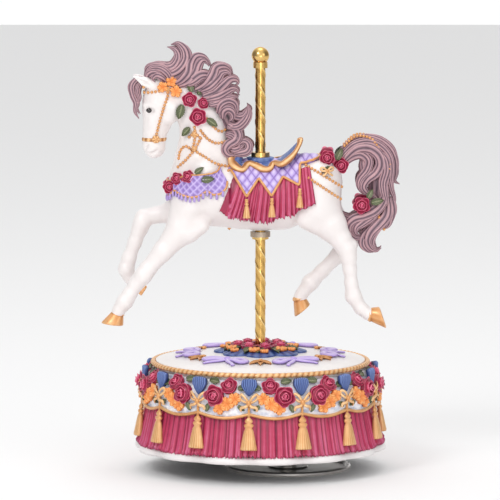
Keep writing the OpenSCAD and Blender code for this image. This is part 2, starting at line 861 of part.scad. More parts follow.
// Leaves on the horse: [x, z, y, direction, length]
horse_leaf_places = [
    [-39, 82, -9, 60, 7], [-35.4, 79, -9.6, 20, 6], [-44, 73, -10, 200, 8], [-29, 66, -10.4, -30, 7],
    [-41.4, 61, -11, 230, 6], [-33, 31, -15, 10, 7], [46, 44, -4, 60, 7], [50, 43, -4, 0, 6],
    [40, 37, -13, 250, 6], [65, 17, -8, -20, 7]
];
module horse_leaves()
    color("darkolivegreen")
        on_horse()
            both_sides()
                for (p = horse_leaf_places)
                    translate([p[0], p[2], p[1]])
                        rotate([90, 0, 0])
                            rotate(p[3])
                                leaf(p[4], 0.55 * p[4], 1);

// Blossoms at the ear and on the tail: [x, z, y, radius]
horse_blossom_places = [
    [-56.4, 84.4, -8, 3], [-51.6, 87, -7, 3], [-48.4, 81.8, -9, 3], [72.6, 38.4, -7, 3.4]
];
module horse_blossoms()
    color("orange")
        on_horse()
            both_sides()
                for (p = horse_blossom_places)
                    translate([p[0], p[2], p[1]])
                        rotate([90, 0, 0])
                            cylinder(r = p[3], h = 2.4, center = true, $fn = 5);

// ---- Musical movement ----

bed_corners = [[-38, -20], [-38, 20], [12, -20], [12, 20]];

module bedplate()
    color("silver")
        difference() {
            translate([-46, -24, bed_z])
                cube([62, 48, bed_t]);
            translate([0, 0, bed_z - 1])
                cylinder(r = shaft_r + run, h = bed_t + 2);
            for (p = bed_corners)
                translate([p[0], p[1], bed_z - 1])
                    cylinder(r = 1.3, h = bed_t + 2);
        }

module bedplate_screws()
    color("silver")
        for (p = bed_corners)
            translate([p[0], p[1], plate_z - fit])
                screw(1.2, plate_t + bed_t, 2.6, 1.4);

module spring_housing()
    color("silver")
        translate([0, 0, housing_z + fit])
            difference() {
                cylinder(r = housing_r, h = housing_h - fit);
                translate([0, 0, 1.2])
                    cylinder(r = housing_r - 1.2, h = housing_h - 2.4 - fit);
                translate([0, 0, -1])
                    cylinder(r = shaft_r + run, h = housing_h + 2);
            }

// The mainspring's outer end is held by the housing, and its inner end stops short of the shaft
module mainspring()
    color("dimgray")
        translate([0, 0, housing_z + 2])
            linear_extrude(housing_h - 4)
                polygon(concat(
                    [for (a = [0 : 15 : 360 * 4]) let (r = 4.4 + 7 * a / 1440) [r * cos(a), r * sin(a)]],
                    [for (a = [360 * 4 : -15 : 0]) let (r = 3.9 + 7 * a / 1440) [r * cos(a), r * sin(a)]]
                ));

pinion_x = -tooth_r;
drum_x = -14.6 - drum_len;
comb_z = pinion_z;
comb_y = drum_r + 1;

module comb()
    color("lightgray")
        difference() {
            union() {
                translate([drum_x - 1, comb_y + 9, comb_z - 0.5])
                    cube([drum_len + 2, 8, 1]);
                for (i = [0 : notes - 1])
                    translate([drum_x + (i + 0.2) * drum_len / notes, comb_y, comb_z - 0.3])
                        cube([0.6 * drum_len / notes, 10, 0.6]);
                translate([drum_x - 1, comb_y + 10, bed_z + bed_t])
                    cube([drum_len + 2, 7, comb_z - 0.5 - bed_z - bed_t]);
            }
            for (x = [drum_x + 3, drum_x + drum_len - 3])
                translate([x, comb_y + 13.5, comb_z - 6])
                    cylinder(r = 1.1, h = 10);
        }

module comb_screws()
    color("silver")
        for (x = [drum_x + 3, drum_x + drum_len - 3])
            translate([x, comb_y + 13.5, comb_z + 0.5 + fit])
                mirror([0, 0, 1])
                    screw(1, 5, 2.2, 1.2);

// An upright that holds a shaft along X: its place, thickness and width
module upright(x, y, t, w, top, hole_y, hole_r)
    difference() {
        translate([x, y, bed_z + bed_t])
            cube([t, w, top - bed_z - bed_t]);
        translate([x - 1, hole_y, pinion_z])
            rotate([0, 90, 0])
                cylinder(r = hole_r, h = t + 2);
    }

drum_axle_r = 1.2;
governor_y = -10.2;
wheel_x = drum_x - 4.2;
module cylinder_bracket()
    color("silver") {
        upright(-14.3, -3, 1, 6, pinion_z + 3, 0, drum_axle_r + run);
        upright(drum_x - 6.6, -3, 1.2, 6, pinion_z + 3, 0, drum_axle_r + run);
    }

// A toothed disc about +X with its first tooth at the top
module toothed(teeth, pitch_r, height, tooth_w, t)
    rotate([0, 90, 0]) {
        cylinder(r = pitch_r - height / 2 - 0.1, h = t);
        for (i = [0 : teeth - 1])
            rotate(180 + i * 360 / teeth)
                linear_extrude(t)
                    polygon([
                        [0.5, -0.6 * tooth_w], [pitch_r - height / 2, -0.6 * tooth_w],
                        [pitch_r + height / 2, -0.3 * tooth_w], [pitch_r + height / 2, 0.3 * tooth_w],
                        [pitch_r - height / 2, 0.6 * tooth_w], [0.5, 0.6 * tooth_w]
                    ]);
    }

// The cylinder turns about +X: pinion, drum with its pins and end wheel on one axle
module music_cylinder()
    color("gold")
        translate([0, 0, pinion_z]) {
            translate([drum_x - 8, 0, 0])
                rotate([0, 90, 0])
                    cylinder(r = drum_axle_r, h = -8.9 - drum_x + 8);
            translate([-11.5, 0, 0])
                toothed(pinion_teeth, pinion_pitch, 1.4, 0.7, 2);
            translate([drum_x, 0, 0])
                rotate([0, 90, 0])
                    cylinder(r = drum_r, h = drum_len);
            for (i = [0 : notes - 1])
                for (k = [0 : 1])
                    rotate([200 * k + 67 * i % 360, 0, 0])
                        translate([drum_x + (i + 0.5) * drum_len / notes, 0, drum_r - 0.3])
                            cylinder(r = 0.2, h = 0.8, $fn = 16);
            translate([wheel_x, 0, 0])
                toothed(30, 7.5, 1, 0.45, 1.2);
        }

worm_starts = 2;
worm_wheel_teeth = 12;
worm_wheel_r = 3;
worm_r = 1.9;
worm_len = 6;
worm_lead = worm_starts * 2 * PI * worm_wheel_r / worm_wheel_teeth;
worm_x = drum_x + 5;
worm_y = governor_y - worm_wheel_r - worm_r - 0.05;
module governor_wheel()
    color("gold")
        translate([0, governor_y, pinion_z]) {
            translate([drum_x - 6, 0, 0])
                rotate([0, 90, 0])
                    cylinder(r = 0.8, h = 14.4);
            translate([wheel_x - 0.2, 0, 0])
                rotate([90, 0, 0])
                    toothed(10, 2.5, 0.9, 0.45, 1.6);
            translate([worm_x - 0.4, 0, 0])
                toothed(worm_wheel_teeth, worm_wheel_r, 0.8, 0.45, 0.8);
        }

module governor_bracket()
    color("silver") {
        upright(drum_x - 5.6, governor_y - 3, 1, 5, pinion_z + 2, governor_y, 0.8 + run);
        upright(worm_x + 2, governor_y - 2, 1, 5, pinion_z + 2, governor_y, 0.8 + run);
        difference() {
            translate([worm_x - 2.5, worm_y - 3, bed_z + bed_t])
                cube([5, 5, pinion_z - 4.6 - bed_z - bed_t]);
            translate([worm_x, worm_y, pinion_z - 7.6])
                cylinder(r = 0.6 + run, h = 6);
        }
    }

// The fan's worm stands upright beside the governor wheel
module fan()
    color("gold")
        translate([worm_x, worm_y, pinion_z]) {
            translate([0, 0, -7.2])
                cylinder(r = 0.6, h = 15);
            translate([0, 0, -worm_len / 2])
                rotate(-180 * worm_len / worm_lead)
                    linear_extrude(height = worm_len, twist = -360 * worm_len / worm_lead, slices = 24, $fn = 12)
                        polygon([for (a = [0 : 30 : 330])
                            let (r = worm_r - 0.35 + 0.4 * pow(abs(cos(a)), 3))
                            [r * cos(a), r * sin(a)]]);
            for (side = [0, 180])
                rotate(side)
                    translate([0.3, -0.3, 4.4])
                        cube([5.4, 0.6, 3]);
        }

foot_disc();
lock_nut();
winding_shaft();
great_wheel();
base_shell();
hem_frill();
rope_rim();
valance();
valance_trim();
curtain();
base_tassels();
base_bows();
base_fans();
base_roses();
base_blossoms();
base_leaves();
top_drape();
top_ribbons();
top_fleurs();
top_roses();
top_blossoms();
top_leaves();
bottom_plate();
plate_screws();
pole();
finial();
pole_nut();
saddle_collar();
belly_washer();
belly_flange();
horse_body();
hooves();
mane();
tail();
saddle();
saddle_roll();
blanket();
skirt();
skirt_tassels();
breast_collar();
noseband();
bead_chains();
horse_roses();
horse_leaves();
horse_blossoms();
bedplate();
bedplate_screws();
spring_housing();
mainspring();
comb();
comb_screws();
cylinder_bracket();
governor_bracket();
music_cylinder();  // cylinder
governor_wheel();
fan();
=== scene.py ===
# Looks of the carousel music box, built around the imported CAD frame. Lengths in this file are in
# millimetres in the frame's own axes, and become metres when a mesh is made.
import math

import bpy
import numpy as np
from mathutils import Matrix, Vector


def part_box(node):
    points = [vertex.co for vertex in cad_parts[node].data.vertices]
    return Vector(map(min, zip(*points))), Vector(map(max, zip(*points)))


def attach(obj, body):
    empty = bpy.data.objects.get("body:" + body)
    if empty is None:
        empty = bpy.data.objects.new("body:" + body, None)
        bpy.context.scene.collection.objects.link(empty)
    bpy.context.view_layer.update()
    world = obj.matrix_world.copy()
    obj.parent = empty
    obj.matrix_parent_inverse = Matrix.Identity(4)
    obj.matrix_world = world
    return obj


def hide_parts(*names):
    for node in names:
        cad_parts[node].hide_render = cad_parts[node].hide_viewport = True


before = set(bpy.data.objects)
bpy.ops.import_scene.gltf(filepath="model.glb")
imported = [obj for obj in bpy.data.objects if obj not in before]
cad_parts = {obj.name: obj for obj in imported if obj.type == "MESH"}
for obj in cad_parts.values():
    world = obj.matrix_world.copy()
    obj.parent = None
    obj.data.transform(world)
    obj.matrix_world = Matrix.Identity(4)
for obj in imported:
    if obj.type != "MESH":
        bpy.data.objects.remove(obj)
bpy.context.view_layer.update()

import openvdb
from mathutils import Matrix, Vector
from mathutils.bvhtree import BVHTree

MM = 0.001
TAU = 2 * math.pi


# ---------------------------------------------------------------- places taken from the frame

def box_mm(node):
    low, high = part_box(node)
    return np.array(low) / MM, np.array(high) / MM


pole_low, pole_high = box_mm("pole")
POLE_X = (pole_low[0] + pole_high[0]) / 2
POLE_R = (pole_high[0] - pole_low[0]) / 2
BASE_LIFT = box_mm("hem_frill")[0][2]
HEM_TOP = box_mm("hem_frill")[1][2]
HEM_R = (box_mm("hem_frill")[1][1] - box_mm("hem_frill")[0][1]) / 2
WALL_R = (box_mm("base_shell")[1][1] - box_mm("base_shell")[0][1]) / 2
CURTAIN_TOP = box_mm("curtain")[1][2]
CURTAIN_R = WALL_R + 6.7
VALANCE_R = (box_mm("valance")[1][1] - box_mm("valance")[0][1]) / 2
SKIN_TOP = box_mm("valance")[1][2]
VALANCE_TOP = CURTAIN_TOP + 12.5
BAND_R = WALL_R + 2.5
ROPE_Z = (box_mm("rope_rim")[0][2] + box_mm("rope_rim")[1][2]) / 2
ROPE_R = (box_mm("rope_rim")[1][2] - box_mm("rope_rim")[0][2]) / 2
RIM_R = WALL_R - 3.8
DOME_EDGE = ROPE_Z + 1.9
TOP_Z = box_mm("base_shell")[1][2]
DOME_H = TOP_Z - DOME_EDGE
DOME_SPHERE = (RIM_R ** 2 + DOME_H ** 2) / (2 * DOME_H)
HORSE_Z = box_mm("belly_washer")[1][2] + 0.4
SWAGS = 14
FIRST_SWAG = -5.5
SWAG_ANGLE = 360 / SWAGS


# ---------------------------------------------------------------- mesh helpers

class Clay:
    """Points, faces and a relief value a point, gathered into one mesh."""

    def __init__(self):
        self.points, self.faces, self.relief, self.count = [], [], [], 0

    def add(self, points, faces, relief=0.5):
        points = np.asarray(points, dtype=float).reshape(-1, 3)
        self.points.append(points)
        self.faces += [tuple(int(i) + self.count for i in f) for f in faces]
        self.relief.append(np.broadcast_to(np.asarray(relief, dtype=float).ravel(), (len(points),)))
        self.count += len(points)

    def add_placed(self, part, matrix):
        points = np.asarray(part[0]) @ matrix[:3, :3].T + matrix[:3, 3]
        self.add(points, part[1], part[2])

    def mirrored(self):
        """The same again on the far side of the horse."""
        points = np.concatenate(self.points) * (1, -1, 1)
        self.add(points, [tuple(reversed(f)) for f in self.faces], np.concatenate(self.relief))

    def part(self):
        """All of it as one part, to be placed in another mesh."""
        return np.concatenate(self.points), self.faces, np.concatenate(self.relief)

    def build(self, name, material, *nodes, body="carousel", smooth=True):
        mesh = bpy.data.meshes.new(name)
        mesh.from_pydata((np.concatenate(self.points) * MM).tolist(), [], self.faces)
        layer = mesh.attributes.new("relief", "FLOAT", "POINT")
        layer.data.foreach_set("value", np.concatenate(self.relief).astype(np.float32).clip(0, 1))
        mesh.polygons.foreach_set("use_smooth", [smooth] * len(mesh.polygons))
        mesh.materials.append(material)
        mesh.update()
        piece = bpy.data.objects.new(name, mesh)
        bpy.context.scene.collection.objects.link(piece)
        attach(piece, body)
        if nodes:
            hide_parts(*nodes)
        return piece


def ring_angles(sides):
    return np.arange(sides) * TAU / sides


def ring_degrees(sides):
    return np.arange(sides) * 360 / sides


def grid_faces(rows, columns, close_rows=False, close_columns=False):
    faces = []
    for i in range(rows if close_rows else rows - 1):
        for j in range(columns if close_columns else columns - 1):
            a, b = i, (i + 1) % rows
            c, d = j, (j + 1) % columns
            faces.append((a * columns + c, a * columns + d, b * columns + d, b * columns + c))
    return faces


def tube_faces(rows, sides):
    """Faces of a tube of rings, with a cap on each end."""
    faces = grid_faces(rows, sides, False, True)
    faces.append(tuple(reversed(range(sides))))
    faces.append(tuple(range((rows - 1) * sides, rows * sides)))
    return faces


def grid_normals(grid, axis):
    """Unit normals of a grid of points; the middle one faces down the axis."""
    normal = np.cross(np.gradient(grid, axis=0), np.gradient(grid, axis=1))
    normal /= np.linalg.norm(normal, axis=2)[:, :, None] + 1e-12
    return -normal if normal[grid.shape[0] // 2, grid.shape[1] // 2, axis] > 0 else normal


def smooth_path(points, steps):
    """A Catmull-Rom curve through the points."""
    p = np.asarray(points, dtype=float)
    out = []
    for i in range(len(p) - 1):
        a, b, c, d = p[max(i - 1, 0)], p[i], p[i + 1], p[min(i + 2, len(p) - 1)]
        for k in range(steps):
            t = k / steps
            out.append(0.5 * (2 * b + (c - a) * t + (2 * a - 5 * b + 4 * c - d) * t * t
                              + (3 * b - a - 3 * c + d) * t ** 3))
    out.append(p[-1])
    return np.array(out)


def resampled(path, step):
    """The path again, with points an even step apart."""
    path = np.asarray(path, dtype=float)
    run = np.concatenate([[0], np.cumsum(np.linalg.norm(np.diff(path, axis=0), axis=1))])
    n = max(2, int(round(run[-1] / step)) + 1)
    s = np.linspace(0, run[-1], n)
    return np.stack([np.interp(s, run, path[:, k]) for k in range(path.shape[1])], axis=1)


def frames_along(path, up=(0, -1, 0)):
    """Tangent, side and up vectors that turn as little as possible along the path."""
    tangent = np.gradient(path, axis=0)
    tangent /= np.linalg.norm(tangent, axis=1)[:, None] + 1e-12
    v = np.array(up, dtype=float)
    sides, ups = [], []
    for t in tangent:
        v = v - t * v.dot(t)
        v /= np.linalg.norm(v) + 1e-12
        sides.append(np.cross(v, t))
        ups.append(v.copy())
    return tangent, np.array(sides), np.array(ups)


def sweep(path, section, up=(0, -1, 0), closed=False):
    """A tube along the path: section(i, t) gives side, up and relief arrays round the ring."""
    path = np.asarray(path, dtype=float)
    _, side, top = frames_along(path, up)
    points, relief = [], []
    for i, p in enumerate(path):
        a, b, r = section(i, i / (len(path) - 1))
        points.append(p + np.outer(a, side[i]) + np.outer(b, top[i]))
        relief.append(np.broadcast_to(r, a.shape))
    ring = len(points[0])
    faces = grid_faces(len(path), ring, True, True) if closed else tube_faces(len(path), ring)
    return np.concatenate(points), [tuple(reversed(f)) for f in faces], np.concatenate(relief)


def round_section(radius, sides=10):
    a = ring_angles(sides)
    return lambda i, t: (radius * np.cos(a), radius * np.sin(a), 0.5)


def lathe(profile, sides=32, groove=None):
    """A turned solid about +Z from (radius, height) points; groove(angle, i) scales the radius."""
    angle = ring_angles(sides)
    points, relief = [], []
    for i, (r, z) in enumerate(profile):
        k = groove(angle, i) if groove else np.ones(sides)
        points.append(np.stack([r * k * np.cos(angle), r * k * np.sin(angle), np.full(sides, z)], axis=1))
        # relief: painted highlights where the groove swells the radius, painted shade where it narrows it
        relief.append((k - 1) * 4 + 0.5)
    return np.concatenate(points), tube_faces(len(profile), sides), np.concatenate(relief)


def ball(radius, rings=8, sides=12):
    turn = np.linspace(-math.pi / 2 * 0.97, math.pi / 2 * 0.97, rings)
    return lathe([(radius * math.cos(a), radius * math.sin(a)) for a in turn], sides)


def flat_ball(radius, rings, sides, squash, lift=0.0):
    """A ball squashed by three factors, then raised."""
    points, faces, relief = ball(radius, rings, sides)
    return points * squash + (0, 0, lift), faces, relief


def frame_at(origin, normal, up=(0, 0, 1), spin=0.0, size=1.0):
    """A 4x4 matrix with +Z along the normal and +Y towards up, turned by spin degrees."""
    n = np.array(normal, dtype=float)
    n /= np.linalg.norm(n)
    y = np.array(up, dtype=float)
    y = y - n * y.dot(n)
    y /= np.linalg.norm(y) + 1e-12
    x = np.cross(y, n)
    c, s = math.cos(math.radians(spin)), math.sin(math.radians(spin))
    m = np.eye(4)
    m[:3, 0] = (x * c + y * s) * size
    m[:3, 1] = (y * c - x * s) * size
    m[:3, 2] = n * size
    m[:3, 3] = origin
    return m


def closed_sheet(outer, inner, relief):
    """A closed shell between two grids of points."""
    rows, columns = outer.shape[:2]
    points = np.concatenate([outer.reshape(-1, 3), inner.reshape(-1, 3)])
    n = rows * columns
    faces = grid_faces(rows, columns)
    faces += [tuple(reversed([i + n for i in f])) for f in grid_faces(rows, columns)]
    rim = [j for j in range(columns)] + [i * columns + columns - 1 for i in range(1, rows)]
    rim += [(rows - 1) * columns + j for j in range(columns - 2, -1, -1)]
    rim += [i * columns for i in range(rows - 2, 0, -1)]
    for a, b in zip(rim, rim[1:] + rim[:1]):
        faces.append((b, a, a + n, b + n))
    # the inner sheet gets relief 0, the darkest colour: painted shade on backs and undersides
    return points, faces, np.concatenate([relief.ravel(), np.zeros(n)])


# ---------------------------------------------------------------- materials

def linear(r, g, b):
    """A linear colour from an sRGB one in 0 to 255."""
    c = np.array([r, g, b]) / 255
    return tuple(np.where(c <= 0.04045, c / 12.92, ((c + 0.055) / 1.055) ** 2.4)) + (1.0,)


def add_node(tree, kind, **values):
    """A node with its inputs set by name; an underscore stands for a space."""
    node = tree.nodes.new("ShaderNode" + kind)
    for name, value in values.items():
        node.inputs[name.replace("_", " ")].default_value = value
    return node


def paint(name, dark, main, light, rough=0.42, grain=700, mottle=160, bump=0.12, coat=0.15,
          metal=0.0, spread=0.5, relief_shaded=True, stretch=(1, 1, 1)):
    """Painted resin or turned metal: the relief value runs from painted shade in the grooves to painted
    highlights on the raised edges, with a mottled brush texture and a fine grain in the gloss. A CAD node has no
    relief values, so its material gets no painted shade or highlight from relief."""
    m = bpy.data.materials.new(name)
    m.use_nodes = True
    tree = m.node_tree
    link = tree.links.new
    shader = tree.nodes["Principled BSDF"]
    place = add_node(tree, "TexCoord")
    mottle_space = add_node(tree, "Mapping", Scale=stretch)
    brush = add_node(tree, "TexNoise", Scale=mottle, Detail=4, Roughness=0.6)
    fine = add_node(tree, "TexNoise", Scale=grain, Detail=3)
    gloss = add_node(tree, "MapRange", To_Min=rough - 0.08, To_Max=rough + 0.08)
    raised = add_node(tree, "Bump", Strength=bump, Distance=0.0004)
    link(place.outputs["Object"], mottle_space.inputs["Vector"])
    link(mottle_space.outputs["Vector"], brush.inputs["Vector"])
    link(mottle_space.outputs["Vector"], fine.inputs["Vector"])
    level = add_node(tree, "Math")
    level.operation = "MULTIPLY_ADD"
    level.use_clamp = not relief_shaded
    link(brush.outputs["Fac"], level.inputs[0])
    level.inputs[1].default_value = spread
    level.inputs[2].default_value = -spread / 2 if relief_shaded else 0.5 - spread / 2
    # the relief value moves the colour to the dark end (painted shade) or the light end (painted highlight)
    if relief_shaded:
        relief = add_node(tree, "Attribute")
        relief.attribute_name = "relief"
        base, level = level, add_node(tree, "Math")
        level.operation = "ADD"
        level.use_clamp = True
        link(relief.outputs["Fac"], level.inputs[0])
        link(base.outputs[0], level.inputs[1])
    ramp = add_node(tree, "ValToRGB")
    ramp.color_ramp.elements[0].color = linear(*dark)
    ramp.color_ramp.elements[1].color = linear(*light)
    ramp.color_ramp.elements.new(0.5).color = linear(*main)
    link(level.outputs[0], ramp.inputs["Fac"])
    link(ramp.outputs["Color"], shader.inputs["Base Color"])
    link(fine.outputs["Fac"], gloss.inputs["Value"])
    link(gloss.outputs[0], shader.inputs["Roughness"])
    link(fine.outputs["Fac"], raised.inputs["Height"])
    link(raised.outputs["Normal"], shader.inputs["Normal"])
    shader.inputs["Metallic"].default_value = metal
    shader.inputs["Coat Weight"].default_value = coat
    shader.inputs["Coat Roughness"].default_value = 0.25
    return m


WHITE = paint("white_resin", (205, 198, 198), (238, 234, 233), (250, 248, 247), rough=0.36, spread=0.25)
HORSE_WHITE = paint("horse_white", (196, 182, 178), (236, 229, 227), (250, 246, 244), rough=0.34, spread=0.16)
VALANCE_WHITE = paint("valance_white", (176, 186, 212), (226, 229, 240), (250, 250, 252), rough=0.4,
                      spread=0.9,
                      mottle=420)
GOLD = paint("gold_paint", (150, 96, 58), (222, 160, 100), (252, 220, 168), rough=0.36, metal=0.25,
             spread=0.4)
CRIMSON = paint("crimson_paint", (104, 20, 52), (192, 52, 92), (220, 128, 168), rough=0.4, spread=0.34)
ROSE = paint("rose_paint", (142, 20, 58), (222, 58, 106), (248, 140, 170), rough=0.38, spread=0.25)
ORANGE = paint("orange_paint", (206, 104, 44), (248, 160, 84), (255, 206, 140), rough=0.44, spread=0.3)
LEAF = paint("leaf_paint", (46, 52, 36), (98, 106, 74), (166, 168, 130), rough=0.46, spread=0.4)
BLUE = paint("blue_paint", (34, 50, 102), (72, 96, 158), (128, 152, 204), rough=0.42, spread=0.3)
NAVY = paint("navy_paint", (26, 36, 78), (54, 74, 136), (104, 128, 184), rough=0.42, spread=0.3)
LAVENDER = paint("lavender_paint", (128, 100, 178), (184, 160, 224), (224, 210, 244), rough=0.42, spread=0.3)
MANE = paint("mane_paint", (62, 42, 56), (152, 120, 132), (222, 176, 178), rough=0.46, spread=0.36, coat=0.1)
HOOF = paint("hoof_gold", (176, 108, 60), (228, 164, 104), (250, 210, 160), rough=0.34, metal=0.3, spread=0.3)
EYE = paint("eye_paint", (18, 14, 14), (34, 26, 24), (60, 46, 40), rough=0.12, coat=0.8, bump=0.02,
            spread=0.2)
CARD = paint("plate_card", (40, 40, 42), (60, 60, 62), (84, 84, 86), rough=0.7, coat=0, relief_shaded=False)


def metal(name, dark, main, light, rough=0.25, bump=0.05, relief_shaded=False, stretch=(1, 1, 1)):
    return paint(name, dark, main, light, rough=rough, coat=0, metal=1.0, spread=0.5, bump=bump,
                 relief_shaded=relief_shaded,
                 stretch=stretch)


# its mottle, stretched along the pole, paints vertical reflection streaks into the brass colour
POLE_BRASS = metal("pole_brass", (120, 76, 30), (226, 184, 108), (250, 226, 170), rough=0.2, relief_shaded=True,
                   stretch=(1, 1, 0.15))
BRASS = metal("brass", (150, 108, 52), (224, 184, 112), (246, 222, 166), rough=0.22)
STEEL = metal("disc_steel", (196, 190, 186), (220, 216, 212), (238, 236, 234), rough=0.34, bump=0.01)
SHAFT = metal("shaft_steel", (124, 120, 116), (172, 168, 164), (206, 203, 200), rough=0.34)
ZINC = metal("movement_zinc", (140, 140, 144), (184, 184, 188), (216, 216, 218), rough=0.36)
SPRING = metal("spring_steel", (66, 68, 78), (104, 106, 116), (146, 148, 156), rough=0.3)
SHELL_WHITE = paint("shell_white", (214, 208, 207), (238, 234, 232), (250, 248, 246), rough=0.36, spread=0.3,
                    relief_shaded=False)

WASHER = metal("washer_metal", (120, 96, 70), (176, 160, 142), (206, 196, 186), rough=0.4)

# CAD nodes that keep their own mesh
KEPT = {
    STEEL: ["foot_disc"],
    WASHER: ["belly_washer"],
    SHAFT: ["lock_nut", "winding_shaft", "plate_screws", "pole_nut", "bedplate_screws", "comb_screws"],
    SHELL_WHITE: ["base_shell"],
    CARD: ["bottom_plate"],
    BRASS: ["great_wheel", "finial", "saddle_collar", "belly_flange", "cylinder", "governor_wheel", "fan"],
    ZINC: ["bedplate", "spring_housing", "cylinder_bracket", "governor_bracket"],
    SPRING: ["mainspring", "comb"],
}
for material, names in KEPT.items():
    for name in names:
        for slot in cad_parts[name].material_slots:
            slot.material = material

# ---------------------------------------------------------------- camera, floor and light

VIEW_X, VIEW_Z = POLE_X - 6.0, 127.7
VIEW_WIDTH, VIEW_TILT, VIEW_FROM = 290.0, 6.8, 4000.0
FLOOR_HALF = 3.0  # metres
WORLD_LEVEL, KEY_POWER, FILL_POWER, TOP_POWER, LOW_POWER = 0.88, 9.0, 3.0, 4.5, 1.6


def set_camera():
    camera = bpy.data.cameras.new("camera")
    camera.sensor_width = 36
    camera.lens = camera.sensor_width * VIEW_FROM / VIEW_WIDTH
    camera.clip_start, camera.clip_end = 0.1, 50
    eye = bpy.data.objects.new("camera", camera)
    tilt = math.radians(VIEW_TILT)
    eye.location = Vector((VIEW_X, -VIEW_FROM * math.cos(tilt), VIEW_Z + VIEW_FROM * math.sin(tilt))) * MM
    eye.rotation_euler = (math.radians(90 - VIEW_TILT), 0, 0)
    bpy.context.scene.collection.objects.link(eye)
    bpy.context.scene.camera = eye


def set_floor():
    floor = bpy.data.meshes.new("floor")
    half = FLOOR_HALF
    floor.from_pydata([(-half, -half, 0), (half, -half, 0), (half, half, 0), (-half, half, 0)], [],
                      [(0, 1, 2, 3)])
    m = bpy.data.materials.new("floor_white")
    m.use_nodes = True
    shader = m.node_tree.nodes["Principled BSDF"]
    shader.inputs["Base Color"].default_value = (0.9, 0.9, 0.9, 1)
    shader.inputs["Roughness"].default_value = 0.9
    floor.materials.append(m)
    piece = bpy.data.objects.new("floor", floor)
    piece.location.z = -0.00002
    bpy.context.scene.collection.objects.link(piece)


def area_light(name, place, target, size, power, colour=(1, 1, 1)):
    lamp = bpy.data.lights.new(name, "AREA")
    lamp.shape = "DISK"
    lamp.size = size
    lamp.energy = power
    lamp.color = colour
    piece = bpy.data.objects.new(name, lamp)
    piece.location = place
    piece.rotation_euler = (Vector(target) - Vector(place)).to_track_quat("-Z", "Y").to_euler()
    bpy.context.scene.collection.objects.link(piece)


def set_light():
    """A white studio whose sides are darker, so that the metal has dark edges."""
    world = bpy.data.worlds.new("studio")
    world.use_nodes = True
    tree = world.node_tree
    place = add_node(tree, "TexCoord")
    split = add_node(tree, "SeparateXYZ")
    side = add_node(tree, "Math")
    side.operation = "ABSOLUTE"
    ramp = add_node(tree, "ValToRGB")
    ramp.color_ramp.elements[0].position = 0.35
    ramp.color_ramp.elements[0].color = (1.15, 1.15, 1.15, 1)
    ramp.color_ramp.elements[1].position = 0.85
    ramp.color_ramp.elements[1].color = (0.3, 0.3, 0.31, 1)
    tree.links.new(place.outputs["Generated"], split.inputs[0])
    tree.links.new(split.outputs["X"], side.inputs[0])
    tree.links.new(side.outputs[0], ramp.inputs["Fac"])
    background = tree.nodes["Background"]
    tree.links.new(ramp.outputs["Color"], background.inputs["Color"])
    background.inputs["Strength"].default_value = WORLD_LEVEL
    bpy.context.scene.world = world
    middle = (0, 0, 0.12)
    area_light("key", (-0.9, -1.3, 1.3), middle, 0.6, KEY_POWER)
    area_light("fill", (1.2, -1.2, 0.7), middle, 0.9, FILL_POWER)
    area_light("top", (0, 0.2, 1.6), middle, 0.9, TOP_POWER)
    area_light("low", (0.15, -1.3, 0.1), (0, 0, 0.01), 0.5, LOW_POWER)


set_camera()
set_floor()
set_light()
bpy.context.scene.view_settings.view_transform = "Standard"


# ---------------------------------------------------------------- the horse, modelled in clay
# Its own frame has its origin on the pole's axis at the belly collar: [x, y, z], near side at -Y.

HORSE = np.array([POLE_X, 0.0, HORSE_Z])
CLAY_LOW, CLAY_HIGH, CLAY_STEP = (-96, -24, -62), (80, 24, 98), 0.62
BODY_R = 18.0  # the trunk's usual radius, where a line towards it meets no skin

# Stations of the trunk, neck and head: x, z, half depth, half width
BARREL = [(-46, 24, 6, 5.6), (-42.5, 23.8, 9.8, 9), (-37.5, 23, 14.2, 13.4), (-32, 22.2, 18, 17),
          (-23, 22.2, 18.6, 18.4),
          (-12, 21, 19.2, 19.2), (0, 20.2, 19.2, 19.6), (11, 20.8, 19.2, 19.2), (21, 23.2, 18.6, 18.4),
          (28, 26, 17.6, 17), (34, 27.6, 12.6, 12), (39, 28, 7.2, 6.8)]
NECK = [(-34, 32, 18.5, 13), (-32.5, 43, 15.6, 11.6), (-32, 54, 13.2, 10), (-34, 64, 11.8, 8.8),
        (-39, 72.5, 10.4, 8),
        (-45.5, 78, 9.2, 7.6), (-51, 81, 7.6, 7)]
HEAD = [(-54, 88, 3.6, 3.6), (-55.6, 84.6, 7.4, 6.4), (-57, 79, 9.9, 8), (-58, 73, 9.6, 8.4),
        (-58.8, 67, 8.6, 7.6),
        (-60.2, 61, 7, 6.3), (-61.4, 55.5, 6, 5.3), (-61.7, 50.4, 6, 5.4), (-61.6, 47.6, 4.8, 4.8),
        (-61.6, 45.8, 2.8, 3.2)]
# Stations of the legs: x, y, z, half depth, half width
NEAR_FORE = [(-40, -7, 20, 11.4, 9), (-46.4, -10.5, 1, 8.4, 6.8), (-56.4, -12, -10.6, 5.7, 5.2),
             (-65.4, -12, -21.4, 4.7, 4.6),
             (-68.4, -12, -25.4, 4.6, 4.6), (-71.6, -12, -29.4, 4.1, 4.1), (-75.6, -12, -35.4, 4, 4),
             (-78.2, -12, -39.8, 4.4, 4.3), (-81.2, -12, -43.6, 3.5, 3.6), (-82.4, -12, -46, 3.7, 3.8)]
FAR_FORE = [(-40, 7, 20, 11, 9), (-51, 11, 9.4, 6.6, 6.4), (-61, 12, 7.8, 4.6, 4.8), (-67.6, 12, 6, 4.9, 4.8),
            (-70, 12, 0, 4.5, 4.4), (-73, 12, -8, 3.9, 3.8), (-76.4, 12, -17.6, 4, 3.8),
            (-78, 12, -23.4, 4.3, 4.2),
            (-76.6, 12, -28, 3.4, 3.4), (-75, 12, -30.4, 3.7, 3.6)]
